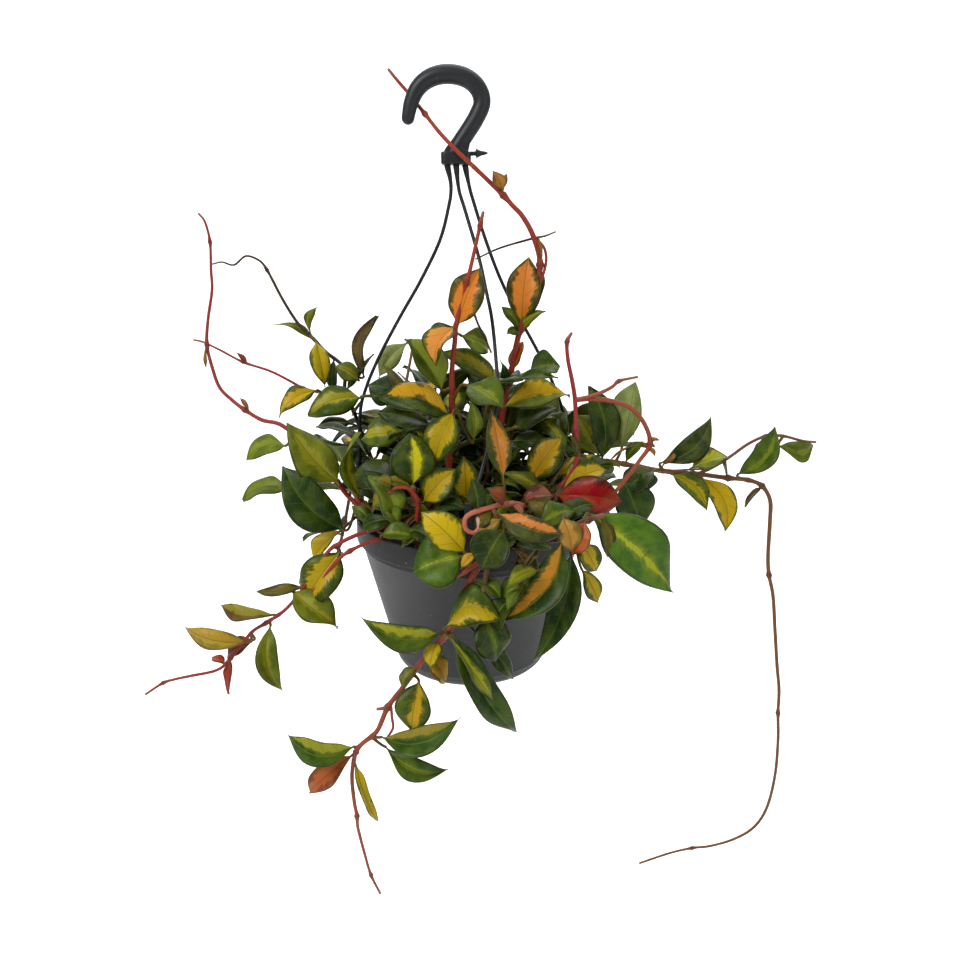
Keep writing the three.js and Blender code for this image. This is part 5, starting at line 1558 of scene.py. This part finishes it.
# Back stems: they rise behind the crown, lean over the back of the rim and hang, with leaves in
# pairs that stand off to either side and look up and outward.
BACK_STEMS = {
    "hoya_back_left": (145, (-30, 44), 150, 75, 11),
    "hoya_back_middle": (88, (4, 52), 140, 120, 23),
    "hoya_back_right": (28, (36, 30), 145, 60, 131),
}
DRAW_FACTOR = 16807
DRAW_PRIME = 2147483647
BACK_STEPS = 8
BACK_HEIGHT = 8
BACK_RISE = 62
BACK_RADII = (2.5, 1.1)
BACK_NODES = (4, 6, 8)
BACK_SWAY = 5
BACK_JOINT = (-0.23, -0.07)
BACK_LEAF = (38, 54)
BACK_LEAF_SWING = (48, 74)
BACK_LEAF_WIDTH = (19, 27)
BACK_LEAF_BOW = (3, 7)
BACK_LEAF_FOLD = 15
BACK_TIP_LEAF = 0.7
BACK_RISING = (0.5, 0.9)
BACK_HANGING = (-0.35, 0.2)
BACK_LOOKS = [
    "dark", "green", "yellow_centre", "dark_big", "olive", "green", "dark", "yellow_stripe",
    "green_streak", "dark_round", "olive", "dark", "gold_centre", "green", "lime_streak", "dark",
]


def draws_from(state):
    """Even draws by the Park-Miller rule. They set how a back stem bends and how its leaves stand."""
    def draw(low, high):
        nonlocal state
        state = state * DRAW_FACTOR % DRAW_PRIME
        return low + (high - low) * state / DRAW_PRIME
    return draw


def back_stem(name, angle, root, reach, drop, seed, first_look):
    draw = draws_from(seed)
    dice = random.Random(seed)
    turn = math.radians(angle)
    outward = Vector((math.cos(turn), math.sin(turn), 0))
    sideways = Vector((-outward.y, outward.x, 0))
    start = Vector((*root, 0)).dot(outward)
    offset = Vector((*root, 0)).dot(sideways)
    points = rooted(*root)
    for step in range(1, BACK_STEPS + 1):
        share = step / BACK_STEPS
        out = start + (reach - start) * share**0.8
        climb = BACK_RISE * math.sin(math.pi * min(1, share * 1.15))
        point = outward * out + sideways * (offset * (1 - share) + draw(-BACK_SWAY, BACK_SWAY))
        point.z = SOIL_TOP + BACK_HEIGHT + climb - drop * share**3
        points.append(point)
    stems, leaves = Skin(), Skin()
    joints = []
    for pair in range(2, len(points)):
        for side in (-1, 1):
            size = 1 if pair < BACK_STEPS else BACK_TIP_LEAF
            at = pair + draw(*BACK_JOINT)
            joints.append(at)
            foot = curve_point(points, at)
            length = draw(*BACK_LEAF) * size
            swing = math.radians(side * draw(*BACK_LEAF_SWING))
            way = outward * math.cos(swing) + sideways * math.sin(swing)
            way.z = draw(*(BACK_RISING if pair < BACK_NODES[0] else BACK_HANGING))
            tip = foot + way.normalized() * length
            base = foot.lerp(tip, PETIOLE_SHARE)
            up = outward * 0.5 + Vector((0, 0, 0.9))
            wide, bow = draw(*BACK_LEAF_WIDTH) * size, draw(*BACK_LEAF_BOW)
            look = BACK_LOOKS[(first_look + 2 * pair + (side > 0)) % len(BACK_LOOKS)]
            leaf(leaves, foot, base, tip, wide, up, bow, 0, BACK_LEAF_FOLD, pair * side, look, dice)
    shoot(stems, points, BACK_RADII, BACK_NODES, "brown", joints)
    planted(name, stems, leaves)


for number, (name, values) in enumerate(BACK_STEMS.items()):
    back_stem(name, *values, number * 5)


# Studio: a pale floor well below the hanging plant that curves up behind it, and soft lights.
FLOOR_DROP = 0.42
SKY_LIGHT = 0.45
PAPER_GLOW = (0.16, 0.6)
SWEEP_HALF = 4.0
SWEEP_FRONT = -3.0
SWEEP_BACK = 1.2
SWEEP_BEND = 0.9
SWEEP_TURNS = (0.3, 0.6, 0.9, 1.2, 1.57)
SWEEP_TOP = 4.0
LIGHTS = (
    ("key", (-1.1, -1.3, 1.3), 0.9, 27),
    ("fill", (1.4, -1.2, 0.4), 1.4, 7),
    ("top", (0.2, 0.3, 1.7), 1.6, 15),
    ("behind", (0.0, 1.3, 0.7), 1.6, 9),
)
stage_low = packed_bounds[0][2] - FLOOR_DROP
sweep_line = [(SWEEP_FRONT, 0.0), (SWEEP_BACK, 0.0)]
for turn in SWEEP_TURNS:
    sweep_line.append((SWEEP_BACK + SWEEP_BEND * math.sin(turn), SWEEP_BEND - SWEEP_BEND * math.cos(turn)))
sweep_line.append((SWEEP_BACK + SWEEP_BEND, SWEEP_TOP))
stage_points, stage_faces = [], []
for y, z in sweep_line:
    stage_points += [(-SWEEP_HALF, y, stage_low + z), (SWEEP_HALF, y, stage_low + z)]
for low in range(0, len(stage_points) - 2, 2):
    stage_faces.append((low, low + 1, low + 3, low + 2))
stage_mesh = bpy.data.meshes.new("studio_sweep")
stage_mesh.from_pydata(stage_points, [], stage_faces)
stage_mesh.shade_smooth()
paper, tree, shader = new_material("studio paper")
seen_straight = node(tree, "ShaderNodeLightPath").outputs["Is Camera Ray"]
feed(tree, shader, {
    "Base Color": (0.97, 0.97, 0.97, 1),
    "Roughness": 0.9,
    "Emission Color": (1, 1, 1, 1),
    "Emission Strength": between(tree, seen_straight, 0, 1, *PAPER_GLOW),
})
stage_mesh.materials.append(paper)
studio_sweep = bpy.data.objects.new("studio_sweep", stage_mesh)
bpy.context.collection.objects.link(studio_sweep)

middle = Vector([(low + high) / 2 for low, high in zip(*packed_bounds)])
for name, place, size, power in LIGHTS:
    light_data = bpy.data.lights.new(name, "AREA")
    light_data.size = size
    light_data.energy = power
    light = bpy.data.objects.new(name, light_data)
    light.location = middle + Vector(place)
    light.rotation_euler = (middle - light.location).to_track_quat("-Z", "Y").to_euler()
    bpy.context.collection.objects.link(light)
world = bpy.data.worlds.new("studio")
bpy.context.scene.world = world
world.use_nodes = True
tree = world.node_tree
seen_straight = node(tree, "ShaderNodeLightPath").outputs["Is Camera Ray"]
sky_light = between(tree, seen_straight, 0, 1, SKY_LIGHT, 1)
feed(tree, tree.nodes["Background"], {0: (1, 1, 1, 1), 1: sky_light})
bpy.context.scene.view_settings.view_transform = "Standard"
